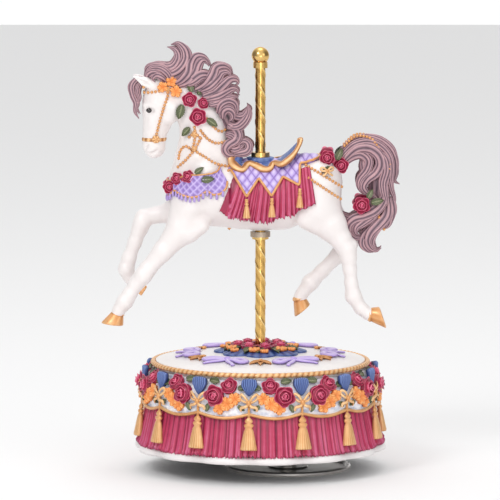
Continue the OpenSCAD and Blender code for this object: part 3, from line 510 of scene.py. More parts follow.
NEAR_HIND = [(31.5, -7, 26, 14.2, 10), (33.5, -10, 14, 13, 9), (40.6, -11.5, 4.6, 9.2, 7.4),
             (46.2, -12, -3.2, 6.2, 5.6),
             (49.8, -12, -9, 5.4, 5), (51, -12, -14, 4.5, 4.4), (51.8, -12, -21, 3.7, 3.7),
             (52.6, -12, -29, 3.6, 3.5),
             (53.8, -12, -36.6, 4.5, 4.3), (58, -12, -43.6, 3.6, 3.7), (62.4, -12, -47, 3.9, 3.8)]
FAR_HIND = [(31.5, 7, 26, 14.2, 10), (33.5, 10, 14, 13, 9), (41, 11.5, 4.6, 9.2, 7.4),
            (47.6, 12, -3.4, 5.8, 5.4),
            (51.8, 12, -8.8, 4.8, 4.6), (45.6, 12, -15.4, 4.5, 4.2), (36, 12, -25, 3.9, 3.7),
            (29.2, 12, -31.8, 4.6, 4.3),
            (25.2, 12, -37, 3.5, 3.5), (23.2, 12, -40.2, 3.8, 3.7)]


class Sculpt:
    """A block of clay: a distance field on a grid, added to and carved with smooth joins."""

    def __init__(self, low, high, step):
        self.low, self.step = np.array(low, dtype=float), step
        n = [int((h - l) / step) + 1 for l, h in zip(low, high)]
        self.axes = [l + step * np.arange(k) for l, k in zip(low, n)]
        self.field = np.full(n, 20.0, dtype=np.float32)

    def near(self, a, b, reach):
        low, high = np.minimum(a, b) - reach, np.maximum(a, b) + reach
        cut = tuple(slice(max(0, int((l - o) / self.step)), max(0, int((h - o) / self.step) + 2))
                    for l, h, o in zip(low, high, self.low))
        x, y, z = np.meshgrid(*[ax[c] for ax, c in zip(self.axes, cut)], indexing="ij", sparse=True)
        return cut, x, y, z

    def rod(self, a, b, ra, rb, blend=1.5, flat=1.0, carve=False):
        """A round-ended rod from a to b. flat is its depth over its width across the horse."""
        a, b = np.array(a, dtype=float), np.array(b, dtype=float)
        cut, x, y, z = self.near(a, b, max(ra, rb) * max(1, 1 / flat) + blend + 1.5)
        middle = (a[1] + b[1]) / 2
        a[1], b[1] = middle + (a[1] - middle) * flat, middle + (b[1] - middle) * flat
        y = middle + (y - middle) * flat
        along = b - a
        t = (x - a[0]) * along[0] + (y - a[1]) * along[1] + (z - a[2]) * along[2]
        t = np.clip(t / (along.dot(along) + 1e-9), 0, 1)
        d = np.sqrt((x - a[0] - along[0] * t) ** 2 + (y - a[1] - along[1] * t) ** 2
                    + (z - a[2] - along[2] * t) ** 2)
        d = d - (ra + (rb - ra) * t)
        old = self.field[cut]
        if carve:
            d = -d
            h = np.clip(0.5 - 0.5 * (d - old) / blend, 0, 1)
            self.field[cut] = d * (1 - h) + old * h + blend * h * (1 - h)
            self.field[cut] = np.maximum(self.field[cut], old)
        else:
            h = np.clip(0.5 + 0.5 * (old - d) / blend, 0, 1)
            self.field[cut] = old * (1 - h) + d * h - blend * h * (1 - h)

    def limb(self, stations, blend=1.5):
        for (ax, ay, az, ad, aw), (bx, by, bz, bd, bw) in zip(stations, stations[1:]):
            self.rod((ax, ay, az), (bx, by, bz), ad, bd, blend, flat=(ad + bd) / (aw + bw))

    def pair(self, a, b, ra, rb, blend=1.5, flat=1.0, carve=False):
        """The same rod on both sides of the horse."""
        for side in (1, -1):
            self.rod((a[0], a[1] * side, a[2]), (b[0], b[1] * side, b[2]), ra, rb, blend, flat, carve)

    def surface(self):
        grid = openvdb.FloatGrid(20.0)
        grid.copyFromArray(self.field)
        points, quads = grid.convertToQuads(0.0)
        return self.low + np.asarray(points, dtype=float) * self.step, np.asarray(quads)


def flat_stations(stations):
    return [(x, 0, z, d, w) for x, z, d, w in stations]


def sculpt_horse():
    clay = Sculpt(CLAY_LOW, CLAY_HIGH, CLAY_STEP)
    clay.limb(flat_stations(BARREL), 2.4)
    clay.limb(flat_stations(NECK), 5)
    clay.limb(flat_stations(HEAD), 3)
    for leg in (NEAR_FORE, FAR_FORE, NEAR_HIND, FAR_HIND):
        clay.limb(leg, 2.2)
    # breast, shoulder, elbow, haunch, stifle and buttock
    clay.pair((-44.6, -4.5, 22.5), (-42.5, -6, 15), 6.8, 6.2, 3)
    clay.pair((-32, -11, 37), (-40, -11.2, 16), 7.2, 7, 4)
    clay.pair((-34.6, -12, 4.4), (-40, -12, 0), 5.2, 4.8, 4)
    clay.pair((35, -9.6, 30), (33, -11, 14), 11, 9.5, 4)
    clay.pair((26.5, -12.4, 8), (31, -12.4, 5), 5.4, 4.6, 4)
    clay.pair((39.6, -7, 30), (38.6, -8.6, 18), 7.2, 6.8, 3)
    clay.rod((-28, 0, 11.4), (14, 0, 9.6), 8, 8, 3)
    # jowl, cheek bone, brow, nostrils, chin and lips
    clay.pair((-51.6, -3.6, 72.4), (-53.4, -3.6, 67.6), 6.6, 5.6, 1.6)
    clay.pair((-62.6, -5.4, 65.4), (-61.6, -4.4, 58), 1.5, 1.2, 1.8)
    clay.pair((-66, -4.7, 73.6), (-60.5, -7, 74.6), 1.9, 1.9, 1.6)
    clay.pair((-65.4, -3.6, 49.2), (-63.6, -4.3, 51.4), 2.1, 1.5, 1.4)
    clay.rod((-64.2, 0, 47.6), (-62, 0, 46), 2.9, 2.6, 1.2)
    clay.rod((-58.6, 0, 45.6), (-57.4, 0, 48), 2.3, 2.4, 0.9)
    clay.pair((-64.6, -7.2, 70.6), (-62.6, -8, 70.4), 2.1, 1.7, 0.8, carve=True)
    clay.pair((-67, -4.6, 48.2), (-65.2, -5.6, 50.2), 1.3, 1.0, 0.5, carve=True)
    clay.pair((-64.6, -3.8, 44.8), (-59.4, -5.4, 47.4), 0.8, 0.7, 0.4, carve=True)
    # tendon grooves and the line between the breast muscles
    clay.rod((-56, 0, 30), (-52, 0, 12), 0.9, 0.9, 3, carve=True)
    clay.pair((-29, -19.5, 30), (-33, -20.5, 8), 0.5, 0.5, 3, carve=True)
    clay.pair((24, -20, 34), (21, -21, 10), 0.6, 0.6, 3.5, carve=True)
    # knees, hocks and fetlocks
    for x, y, z, r in ((-67.6, -12, -24.8, 4.7), (-69, 12, 3.4, 4.9), (-79, -12, -40.4, 4.1),
                       (-78.2, 12, -24.2, 4.2)):
        clay.rod((x, y - 1.2, z), (x, y + 1.2, z), r, r, 1.5)
    for x, y, z in ((53.6, -12, -7.6), (55.4, 12, -6.4)):
        clay.rod((x - 2.6, y, z - 1), (x, y, z + 1.4), 3.2, 2.4, 2)
    # ears, with hollow fronts
    for side in (1, -1):
        clay.rod((-60.6, -4.4 * side, 84), (-66.6, -5.4 * side, 87.2), 3.1, 2.9, 1.2)
        clay.rod((-66.6, -5.4 * side, 87.2), (-73.6, -5.8 * side, 90.6), 2.9, 0.5, 0.8)
        clay.rod((-64.6, -8.2 * side, 86), (-71.4, -6.8 * side, 89.2), 1.2, 0.5, 0.5, carve=True)
    # the flat boss that the washer meets, and room for the pole
    clay.rod((0, 0, 5.4), (0, 0, 5), 5.2, 5.2, 3)
    clay.rod((0, 0, -10), (0, 0, 60), POLE_R + 0.25, POLE_R + 0.25, 0.3, carve=True)
    points, quads = clay.surface()
    return points + HORSE, quads


def neighbour_mean(quads, n):
    """A function that takes n points and gives the mean of each one's neighbours."""
    edges = np.concatenate([quads[:, [0, 1]], quads[:, [1, 2]], quads[:, [2, 3]], quads[:, [3, 0]]])
    degree = np.bincount(edges.ravel(), minlength=n)[:, None] + 1e-9

    def mean(points):
        total = np.zeros((n, 3))
        np.add.at(total, edges[:, 0], points[edges[:, 1]])
        np.add.at(total, edges[:, 1], points[edges[:, 0]])
        return total / degree

    return mean


def crease_relief(points, quads):
    """A relief value a point: low in creases and high on ridges, from the mean of its neighbours. It paints shade
    into the creases and highlights onto the ridges.
    """
    n = len(points)
    neighbours = neighbour_mean(quads, n)
    normal = np.zeros((n, 3))
    face = np.cross(points[quads[:, 2]] - points[quads[:, 0]], points[quads[:, 3]] - points[quads[:, 1]])
    for k in range(4):
        np.add.at(normal, quads[:, k], face)
    normal /= np.linalg.norm(normal, axis=1)[:, None] + 1e-12
    smooth = points
    for _ in range(14):
        smooth = neighbours(smooth)
    return (0.5 + 0.8 * ((points - smooth) * normal).sum(axis=1)).clip(0, 1)


def soften(points, quads, passes=3, keep=0.5):
    """The points eased towards their neighbours, a few times over."""
    neighbours = neighbour_mean(quads, len(points))
    for _ in range(passes):
        points = points * keep + neighbours(points) * (1 - keep)
    return points


horse_points, horse_quads = sculpt_horse()
horse_points = soften(horse_points, horse_quads)
horse = Clay()
# the horse's skin, with painted shade in its creases and painted highlights on its ridges
horse.add(horse_points, horse_quads.tolist(), 0.55 + 0.5 * (crease_relief(horse_points, horse_quads) - 0.5))
horse.build("horse_skin", HORSE_WHITE, "horse_body")
SKIN = BVHTree.FromPolygons(horse_points.tolist(), horse_quads.tolist())


def on_side(x, z, side=-1, lift=0.0):
    """The horse's surface and normal where a line across the horse at x, z meets it."""
    start = Vector((HORSE[0] + x, side * 60, HORSE[2] + z))
    place, normal, _, _ = SKIN.ray_cast(start, Vector((0, -side, 0)))
    if place is None:
        place, normal, _, _ = SKIN.find_nearest(Vector((HORSE[0] + x, side * 8, HORSE[2] + z)))
    if normal.y * side < 0:
        normal = -normal
    return np.array(place) + np.array(normal) * lift, np.array(normal)


# ---------------------------------------------------------------- hooves

# Each hoof seen from the side: coronet front and back, toe and heel of the sole as (x, z), and its y
HOOVES = [((-85.4, -44.6), (-78.8, -47.6), (-92, -52.2), (-79.6, -53.8), -12),
          ((-77.2, -32), (-72.2, -28.4), (-69.6, -39.4), (-66, -34), 12),
          ((62.8, -51.4), (62.8, -43.2), (72.8, -55.2), (68.8, -43.2), -12),
          ((18.8, -41.6), (26.6, -39.9), (20.2, -51.6), (28.8, -44.8), 12)]


def add_hooves():
    clay = Clay()
    turn = ring_angles(32)
    # share of the way down, width, and the painted light: painted shade in the narrowing under the coronet, painted
    # highlights on the bulges
    steps = [(-0.16, 0.72, 0.5), (-0.06, 0.98, 0.8), (0.06, 1.04, 0.75), (0.14, 0.9, 0.2), (0.3, 0.95, 0.5),
             (0.6, 1, 0.55),
             (0.92, 1.04, 0.6), (1, 1.0, 0.7), (1.03, 0.9, 0.4)]
    for front, back, toe, heel, y in HOOVES:
        front, back, toe, heel = [np.array((p[0], y, p[1])) for p in (front, back, toe, heel)]
        rings, relief = [], []
        for share, width, painted_light in steps:
            fore, aft = front + (toe - front) * share, back + (heel - back) * share
            half = (fore - aft) / 2 * width
            middle = (fore + aft) / 2
            wide = np.linalg.norm(half) * 0.88
            ring = middle + np.outer(np.cos(turn), half) + np.outer(np.sin(turn) * wide, (0, 1, 0))
            rings.append(ring)
            relief.append(painted_light + 0.12 * np.cos(9 * turn))
        faces = tube_faces(len(rings), len(turn))
        if np.cross(front - back, (0, 1, 0)).dot(toe - front) > 0:
            faces = [tuple(reversed(f)) for f in faces]
        clay.add(np.concatenate(rings) + HORSE, faces, np.concatenate(relief))
    clay.build("gold_hooves", HOOF, "hooves")


# ---------------------------------------------------------------- mane and tail

# Each lock: half width, then its points [x, z, y] in the horse's frame
MANE_LOCKS = [
    (2.5, [(-63, 84, -1), (-69.4, 88, -1), (-73.6, 84.6, -2), (-73.4, 79.4, -3), (-71.8, 74.6, -3),
           (-72.4, 69.7, -3),
           (-70.2, 65.4, -2.6)]),
    (2.0, [(-63, 84, 0), (-68.6, 86, -2), (-71, 82, -3.6), (-70, 77.6, -3.8), (-71.6, 72.6, -3.6),
           (-70, 68, -3)]),
    (2.4, [(-66, 88, -4), (-64.4, 91.4, -5.4), (-61.4, 92.6, -6), (-58.2, 91, -6.4), (-56, 87.6, -6.6)]),
    (2.6, [(-17.8, 49.6, -8), (-15, 48.2, -8.4), (-12, 48.8, -8.4), (-9.6, 51, -8)]),
    (2.7, [(-51, 86, -5), (-53.7, 92.2, -6), (-58.6, 95, -6), (-63.9, 94.2, -5.4), (-66.4, 90, -5)]),
    (2.7, [(-50.2, 87.8, -3), (-52.4, 94, -4), (-58.6, 96.2, -4), (-64.6, 95, -3.4), (-67.2, 90.4, -3)]),
    (2.1, [(-54, 86, -6.4), (-57.3, 90, -7.2), (-60, 91.2, -7), (-62.3, 89, -6.6), (-60.8, 87, -6.6)]),
    (3.7, [(-64, 95, -2), (-59.5, 96, -4), (-53.7, 94.4, -5), (-49.3, 96.4, -5), (-47.2, 101.2, -4),
           (-49, 105.4, -3),
           (-53.4, 107, -2)]),
    (3.8, [(-57.3, 93, -3), (-51, 92, -5), (-46, 95, -6), (-43, 100.3, -5), (-43.8, 105.4, -3.6),
           (-47.6, 109, -2),
           (-51.6, 108.4, -1)]),
    (3.4, [(-50, 86, -6), (-45.7, 87.8, -7.4), (-41.3, 92.3, -7), (-39.9, 97.6, -5.6), (-37.3, 101.2, -4),
           (-33.3, 101.2, -3),
           (-30.2, 98.6, -2), (-28, 95, -2)]),
    (3.2, [(-47.5, 85, -7), (-41.7, 87.8, -8), (-37.7, 92.3, -7), (-35.9, 96.7, -6), (-33.7, 99.2, -5),
           (-31.5, 98.6, -4),
           (-29.7, 96, -4)]),
    (3.4, [(-43, 85.5, -7.4), (-38.6, 88.2, -8), (-34.6, 91, -7.4), (-30.6, 90.6, -6), (-28.6, 87.6, -5),
           (-30, 84, -5)]),
    (3.3, [(-38, 82.4, -7), (-31.6, 85.6, -7.4), (-27.4, 91, -6.4), (-25.7, 94.8, -5), (-22.2, 96, -4),
           (-18.4, 94.6, -3),
           (-16.6, 91.4, -3)]),
    (3.0, [(-34.2, 81.5, -8), (-28.8, 84.2, -8), (-24.4, 88.7, -7), (-22.2, 92, -6), (-19, 92.6, -5),
           (-16.8, 90.6, -5)]),
    (3.2, [(-33.3, 79, -8), (-26.2, 81.4, -8), (-21.3, 85.4, -7), (-17.7, 88.4, -5.6), (-14.4, 88.4, -4.6),
           (-12.8, 86.4, -4),
           (-14.4, 84.6, -4.6)]),
    (3.1, [(-31.5, 76.6, -8.4), (-24.4, 78.6, -8.6), (-19.5, 81.4, -7.6), (-16.4, 83, -6.4),
           (-13.5, 82.4, -5), (-12.6, 79.6, -5)]),
    (2.7, [(-29.7, 74, -8.6), (-23, 76, -8.8), (-17.3, 78.2, -8), (-14.6, 78.6, -7), (-12.4, 78.6, -6.6)]),
    (3.1, [(-24, 69, -8), (-22.3, 74, -8.8), (-18.6, 76, -8.6), (-15.2, 74.4, -8), (-14, 70.4, -7.4),
           (-15.4, 66.4, -7)]),
    (2.6, [(-22, 66, -8.6), (-21.2, 70.2, -9.4), (-18.4, 71.6, -9.6), (-16.2, 69.6, -9.4), (-16.2, 66.6, -9),
           (-18.2, 64.6, -8.6)]),
    (3.1, [(-19, 61.5, -7), (-14, 61, -8), (-11, 62.4, -7.6), (-8.4, 65, -7), (-6.6, 68.4, -6),
           (-6.6, 72, -5.4), (-7.6, 74, -5)]),
    (2.7, [(-17, 68.6, -7), (-12.4, 67, -7), (-9.4, 67.8, -6), (-7.9, 70.4, -5), (-7.2, 73.2, -4.6)]),
    (3.0, [(-18.6, 63, -8), (-14.2, 59.8, -8.6), (-13, 56.4, -8.6), (-14.6, 53.4, -8.8), (-18.3, 51.4, -9),
           (-20.4, 48.5, -9.4),
           (-19, 45.4, -9.6), (-15.7, 44.6, -9.4), (-12.4, 46, -9)]),
    (2.6, [(-15.7, 44.8, -8.6), (-11.7, 45.8, -9), (-8, 46.8, -8.6), (-6.4, 49.4, -8.2), (-7.6, 52.3, -8),
           (-10.6, 53, -8.2),
           (-12.5, 51, -8.6), (-11.6, 48.6, -8.8)]),
    (2.6, [(-20, 57, -8.4), (-17, 56.4, -9), (-14, 54.6, -9), (-11.4, 55.2, -8.4)]),
]
MANE_CREST = [(-60, 86, 0, 3), (-54, 91, 0, 5.6), (-46, 91, 0, 8), (-38, 87, 0, 8.4), (-29, 82, 0, 8),
              (-21.6, 72, 0, 7.4), (-16.4, 61, 0, 6.6), (-13.6, 50, 0, 5.4)]
TAIL_LOCKS = [
    (3.4, [(44, 41, -2), (49, 47.6, -2), (54.6, 52, -3), (61.4, 53.6, -3), (68.7, 52, -3), (74.6, 47.6, -3),
           (77.8, 41, -3),
           (78.2, 34, -3), (77.6, 29, -3), (80.6, 27.6, -3)]),
    (3.4, [(44, 40, -4), (50, 46.6, -4), (55.4, 50.6, -5), (62.5, 51.6, -5.6), (69, 49, -6), (73.6, 43.4, -6),
           (74.8, 37, -6),
           (74.6, 31, -6), (75.6, 25, -5), (77.6, 18.6, -4), (77, 12, -4)]),
    (3.3, [(46, 39, -5), (51.6, 45, -5.6), (56.8, 48.4, -6), (63.5, 48.4, -7), (68.4, 44.6, -8),
           (69.4, 39.4, -8), (66.8, 34.6, -8),
           (62, 30.8, -8), (59.6, 26.6, -8), (61.4, 23, -8), (66, 20.6, -8), (70, 17, -7)]),
    (3.0, [(47.6, 38.6, -4), (53, 43.4, -5), (58.4, 45, -6), (62.6, 41.6, -7), (61.4, 36, -7), (58, 31.6, -7),
           (56.8, 27.4, -7),
           (58.4, 23.6, -7), (61.6, 21.4, -6)]),
    (2.7, [(56.6, 44, -3), (59.6, 42, -4), (60, 38, -5), (61, 33, -5), (59, 28, -6), (60.6, 24, -6)]),
    (3.2, [(66.4, 47.6, -7), (71.4, 42.6, -8), (72.6, 36, -8.4), (71, 29, -8.6), (71.6, 23, -8.4),
           (72.8, 17.6, -7.6),
           (70.6, 13, -7)]),
    (3.4, [(72.6, 27, -7), (71, 18.6, -8), (66.8, 12.8, -8.4), (60.6, 9.6, -8.4), (54.6, 7.8, -8),
           (51, 4, -7.4), (51.6, -0.8, -7),
           (55.2, -3.6, -7), (59, -3.4, -6.6), (60.8, -0.4, -6)]),
    (3.0, [(68, 15, -6), (65.4, 9.6, -7.6), (59.6, 5.8, -8), (55.6, 3, -8), (55.2, -0.4, -8),
           (58, -2, -7.4)]),
    (2.7, [(60, 9.4, -5), (56, 8, -6), (51, 7.2, -6), (47.6, 9.2, -5), (45.4, 11.6, -4.4), (43.4, 12.8, -4)]),
    (3.4, [(74, 20, -5), (74.2, 14, -6), (72.8, 8.8, -7), (68.4, 4.2, -7.4), (64, 0, -7), (62, -5, -6.6),
           (63.8, -9.6, -6),
           (67.4, -11.2, -5.4), (70, -9.4, -5)]),
    (2.8, [(72.4, 8, -5), (67.6, 2.4, -7), (65, -2.4, -6.8), (64.8, -7, -6), (67, -9.8, -5.4)]),
    (2.8, [(64.6, 4, -5), (60.6, -2, -6), (59.4, -7, -6), (62.2, -10.8, -5), (65.4, -12.2, -4.4)]),
    (2.8, [(76, 20, -4), (76, 12, -4.6), (74.8, 7, -5), (73.6, 3.4, -5), (70.6, 1.4, -5)]),
]
TAIL_CREST = [(43, 38, 0, 4), (50, 44.6, 0, 5), (58, 48.4, 0, 5.4), (66, 46, 0, 6.4), (70.6, 38, 0, 7.4),
              (70, 29, 0, 7.6),
              (68.8, 21, 0, 6.6), (69, 14, 0, 6), (65, 7, 0, 5.8), (61, 1, 0, 4.6), (63, -5, 0, 3)]


def lock_of_hair(half, points, rng, strands=8):
    path = smooth_path(points, 8)[:, [0, 2, 1]]
    path = resampled(path, 0.9)
    n = len(path)
    sides = 64
    angle = ring_angles(sides)
    start = rng.uniform(0, TAU)
    twist = rng.uniform(-1.2, 1.2)
    wave = rng.uniform(0, TAU)
    t = np.arange(n) / (n - 1)
    path[:, 1] += 0.5 * np.sin(t * 9 + wave)
    width = half * np.where(t < 0.35, 0.5 + 0.5 * np.sin(t / 0.35 * math.pi / 2),
                            np.clip(1 - ((t - 0.35) / 0.66) ** 2.4, 0.1, 1))

    def section(i, share):
        groove = np.abs(np.sin(strands * (angle + start + twist * share) / 2 + 0.7 * np.sin(2 * angle + wave)))
        r = width[i] * (0.74 + 0.26 * groove ** 0.7)
        # the coordinate across the horse is the ring's up, and stays thinner than its width
        fine = 0.5 + 0.5 * np.cos(3 * strands * angle + 2 * wave)
        # relief: painted shade in the grooves between the strands, painted highlights on the strands
        return r * np.cos(angle), 0.66 * r * np.sin(angle), 0.02 + 0.66 * groove ** 1.2 + 0.2 * fine * groove

    return sweep(path, section)


def add_hair(name, node, locks, seed, crest):
    """The near side's locks, a slightly different mirrored set, and the crest that they grow from."""
    rng = np.random.default_rng(seed)
    clay = Clay()
    locks = locks + [(half, [(x + rng.uniform(-0.8, 0.8), z + rng.uniform(-0.8, 0.2), -y) for x, z,
                             y in points])
                     for half, points in locks]
    for half, points in locks:
        points, faces, relief = lock_of_hair(half, points, rng)
        clay.add(points + HORSE, faces, relief)
    path = smooth_path([(x, y, z, r) for x, z, y, r in crest], 6)
    angle = ring_angles(40)

    def section(i, t):
        groove = np.abs(np.sin(6 * angle + 8 * t))
        r = path[i, 3] * (0.86 + 0.14 * groove)
        # relief: painted highlights on the ridges, painted shade in the grooves
        return r * np.cos(angle), 0.9 * r * np.sin(angle), groove * 0.7

    points, faces, relief = sweep(path[:, :3], section)
    clay.add(points + HORSE, faces, relief)
    clay.build(name, MANE, node)


# ---------------------------------------------------------------- the trunk's skin, for the harness

class Trunk:
    """The near side of the trunk as a table of points by x and by length down from the back's middle."""

    def __init__(self, first, last, step=1.0):
        self.xs = np.arange(first, last + step, step)
        self.rows, lines = [], []
        for x in self.xs:
            middle = np.interp(x, [s[0] for s in BARREL], [s[1] for s in BARREL])
            line = []
            for turn in np.radians(np.arange(0, 151, 2.5)):
                away = Vector((0, -math.sin(turn), math.cos(turn)))
                centre = Vector((HORSE[0] + x, 0, HORSE[2] + middle))
                place = SKIN.ray_cast(centre + away * 34, -away)[0]
                if place is None:
                    place = centre + away * BODY_R
                line.append((place.y, place.z - HORSE[2]))
            line = np.array(line)
            line[1:-1] = (line[:-2] + 2 * line[1:-1] + line[2:]) / 4
            lines.append(line)
        before, after = [int(np.argmin(np.abs(self.xs - side * (POLE_R + 2.5)))) for side in (-1, 1)]
        for i in range(before + 1, after):
            t = (i - before) / (after - before)
            lines[i] = lines[before] * (1 - t) + lines[after] * t
        for line in lines:
            run = np.concatenate([[0], np.cumsum(np.linalg.norm(np.diff(line, axis=0), axis=1))])
            self.rows.append((line, run))

    def between(self, x):
        i = int(np.clip((x - self.xs[0]) / (self.xs[1] - self.xs[0]), 0, len(self.xs) - 1.001))
        return i, (x - self.xs[i]) / (self.xs[1] - self.xs[0])

    def length_to(self, x, z):
        """Length down from the back's middle to the height z."""
        i, t = self.between(x)
        out = []
        for line, run in (self.rows[i], self.rows[i + 1]):
            top = int(np.argmax(line[:36, 1]))
            out.append(np.interp(-z, -np.minimum.accumulate(line[top:, 1]), run[top:]))
        return out[0] * (1 - t) + out[1] * t

    def at(self, x, length):
        i, t = self.between(x)
        a, b = ([np.interp(length, run, line[:, k]) for k in (0, 1)] for line,
                run in (self.rows[i], self.rows[i + 1]))
        return np.array([x, a[0] * (1 - t) + b[0] * t, a[1] * (1 - t) + b[1] * t])


def cloth_on_trunk(trunk, columns, rows, x_at, top_at, low_at, lift, back=0.5):
    """A closed sheet on the trunk. x_at(u, v), top_at(u) and low_at(u) give its outline, with a
    top of None for the middle of the back; lift(u, v, x, z) gives its height and relief."""
    base = np.zeros((columns, rows, 3))
    for i in range(columns):
        u = i / (columns - 1)
        for j in range(rows):
            v = j / (rows - 1)
            x = x_at(u, v)
            top = top_at(u)
            first = 0.0 if top is None else trunk.length_to(x, top)
            base[i, j] = trunk.at(x, first + (trunk.length_to(x, low_at(u)) - first) * v)
    normal = grid_normals(base, 1)
    high, relief = np.zeros((columns, rows)), np.zeros((columns, rows))
    for i in range(columns):
        for j in range(rows):
            high[i, j], relief[i, j] = lift(i / (columns - 1), j / (rows - 1), base[i, j, 0], base[i, j, 2])
    outer = base + normal * high[:, :, None]
    return outer + HORSE, base - normal * back + HORSE, relief


def edge_cord(clay, edge, radius, bumps=0.0, pitch=2.2):
    """A cord along an edge, twisted if bumps is given."""
    path = resampled(edge, 0.5 if bumps else 0.8)
    angle = ring_angles(10)
    run = np.arange(len(path)) * 0.5

    def section(i, t):
        r = radius * (1 + bumps * np.cos(2 * angle + run[i] * TAU / pitch))
        # relief: painted highlights on the twisted strands, painted shade between them
        return r * np.cos(angle), r * np.sin(angle), 0.5 + 0.5 * np.cos(2 * angle + run[i] * TAU / pitch)

    if not bumps:
        clay.add(*sweep(path, round_section(radius)))
    else:
        clay.add(*sweep(path, section))


def polyline(points):
    """Height as a function of the share along evenly spaced or given points (x, z)."""
    points = np.array(points, dtype=float)
    return lambda x: float(np.interp(x, points[:, 0], points[:, 1]))


BLANKET_LOW = polyline([(-18.4, 39), (-15, 33), (-8, 22), (-0.9, 31.6), (6.5, 22.4), (13, 32.6), (22.2, 28.4),
                        (23.6, 39.6), (28, 40.2), (33, 42), (36, 44)])


COLLAR_TOP = polyline([(-55, 29.4), (-50.6, 30), (-45, 33), (-34, 34.6), (-24, 36), (-15, 40)])
COLLAR_LOW = polyline([(-55, 21), (-51, 21.6), (-48.4, 24.6), (-45, 22.6), (-39.6, 21.4), (-34.6, 22.6),
                       (-31, 25.4),
                       (-27.4, 23), (-23.4, 23.4), (-19.4, 26.6), (-15, 34)])
COLLAR_ABOUT = -36.0


def add_breast_collar():
    """A lattice band round the chest, from the near flank to the far one, with a gold scalloped edge
    and a short fringe."""
    columns, rows = 260, 22
    base = np.zeros((columns, rows, 3))

    def hit(away, z):
        centre = Vector((HORSE[0] + COLLAR_ABOUT, 0, HORSE[2] + z))
        place = SKIN.ray_cast(centre + away * 60, -away)[0]
        return np.array(place) if place is not None else np.array(centre + away * BODY_R)

    for i in range(columns):
        turn = math.radians(-45 - 270 * i / (columns - 1))
        away = Vector((math.cos(turn), math.sin(turn), 0))
        x = hit(away, 26)[0] - HORSE[0]
        top, low = COLLAR_TOP(x), COLLAR_LOW(x)
        for j in range(rows):
            base[i, j] = hit(away, top + (low - top) * j / (rows - 1))
    for _ in range(2):
        base[1:-1] = (base[:-2] + 2 * base[1:-1] + base[2:]) / 4
    normal = grid_normals(base, 0)
    run = np.concatenate([[0], np.cumsum(np.linalg.norm(np.diff(base[:, rows // 2], axis=0), axis=1))])
    across, height = run[:, None] - run[-1] / 2, base[:, :, 2]
    a = np.abs(np.sin(math.pi * (across + height) / 4.2))
    b = np.abs(np.sin(math.pi * (across - height) / 4.2))
    ridge = (1 - np.minimum(a, b)) ** 2
    collar = Clay()
    outer = base + normal * (0.95 + 0.55 * ridge)[:, :, None]
    # the raised lattice gets painted highlights, the hollows between it painted shade
    collar.add(*closed_sheet(outer, base - normal * 0.8, 0.16 + 0.74 * ridge))
    for i in range(7, columns - 7, 7):
        place = outer[i, -1]
        tab = [place + (0, 0, 0.3), place + normal[i, -1] * 0.4 + (0, 0, -1.5), place + (0, 0, -2.9)]
        collar.add(*sweep(np.array(tab), round_section(0.75, 8), up=normal[i, -1]))
    collar.build("lavender_collar", LAVENDER, "breast_collar")
    edge = Clay()
    edge_cord(edge, outer[:, -1], 0.62)
    edge_cord(edge, outer[:, 0], 0.5)
    edge.build("gold_collar_edge", GOLD)


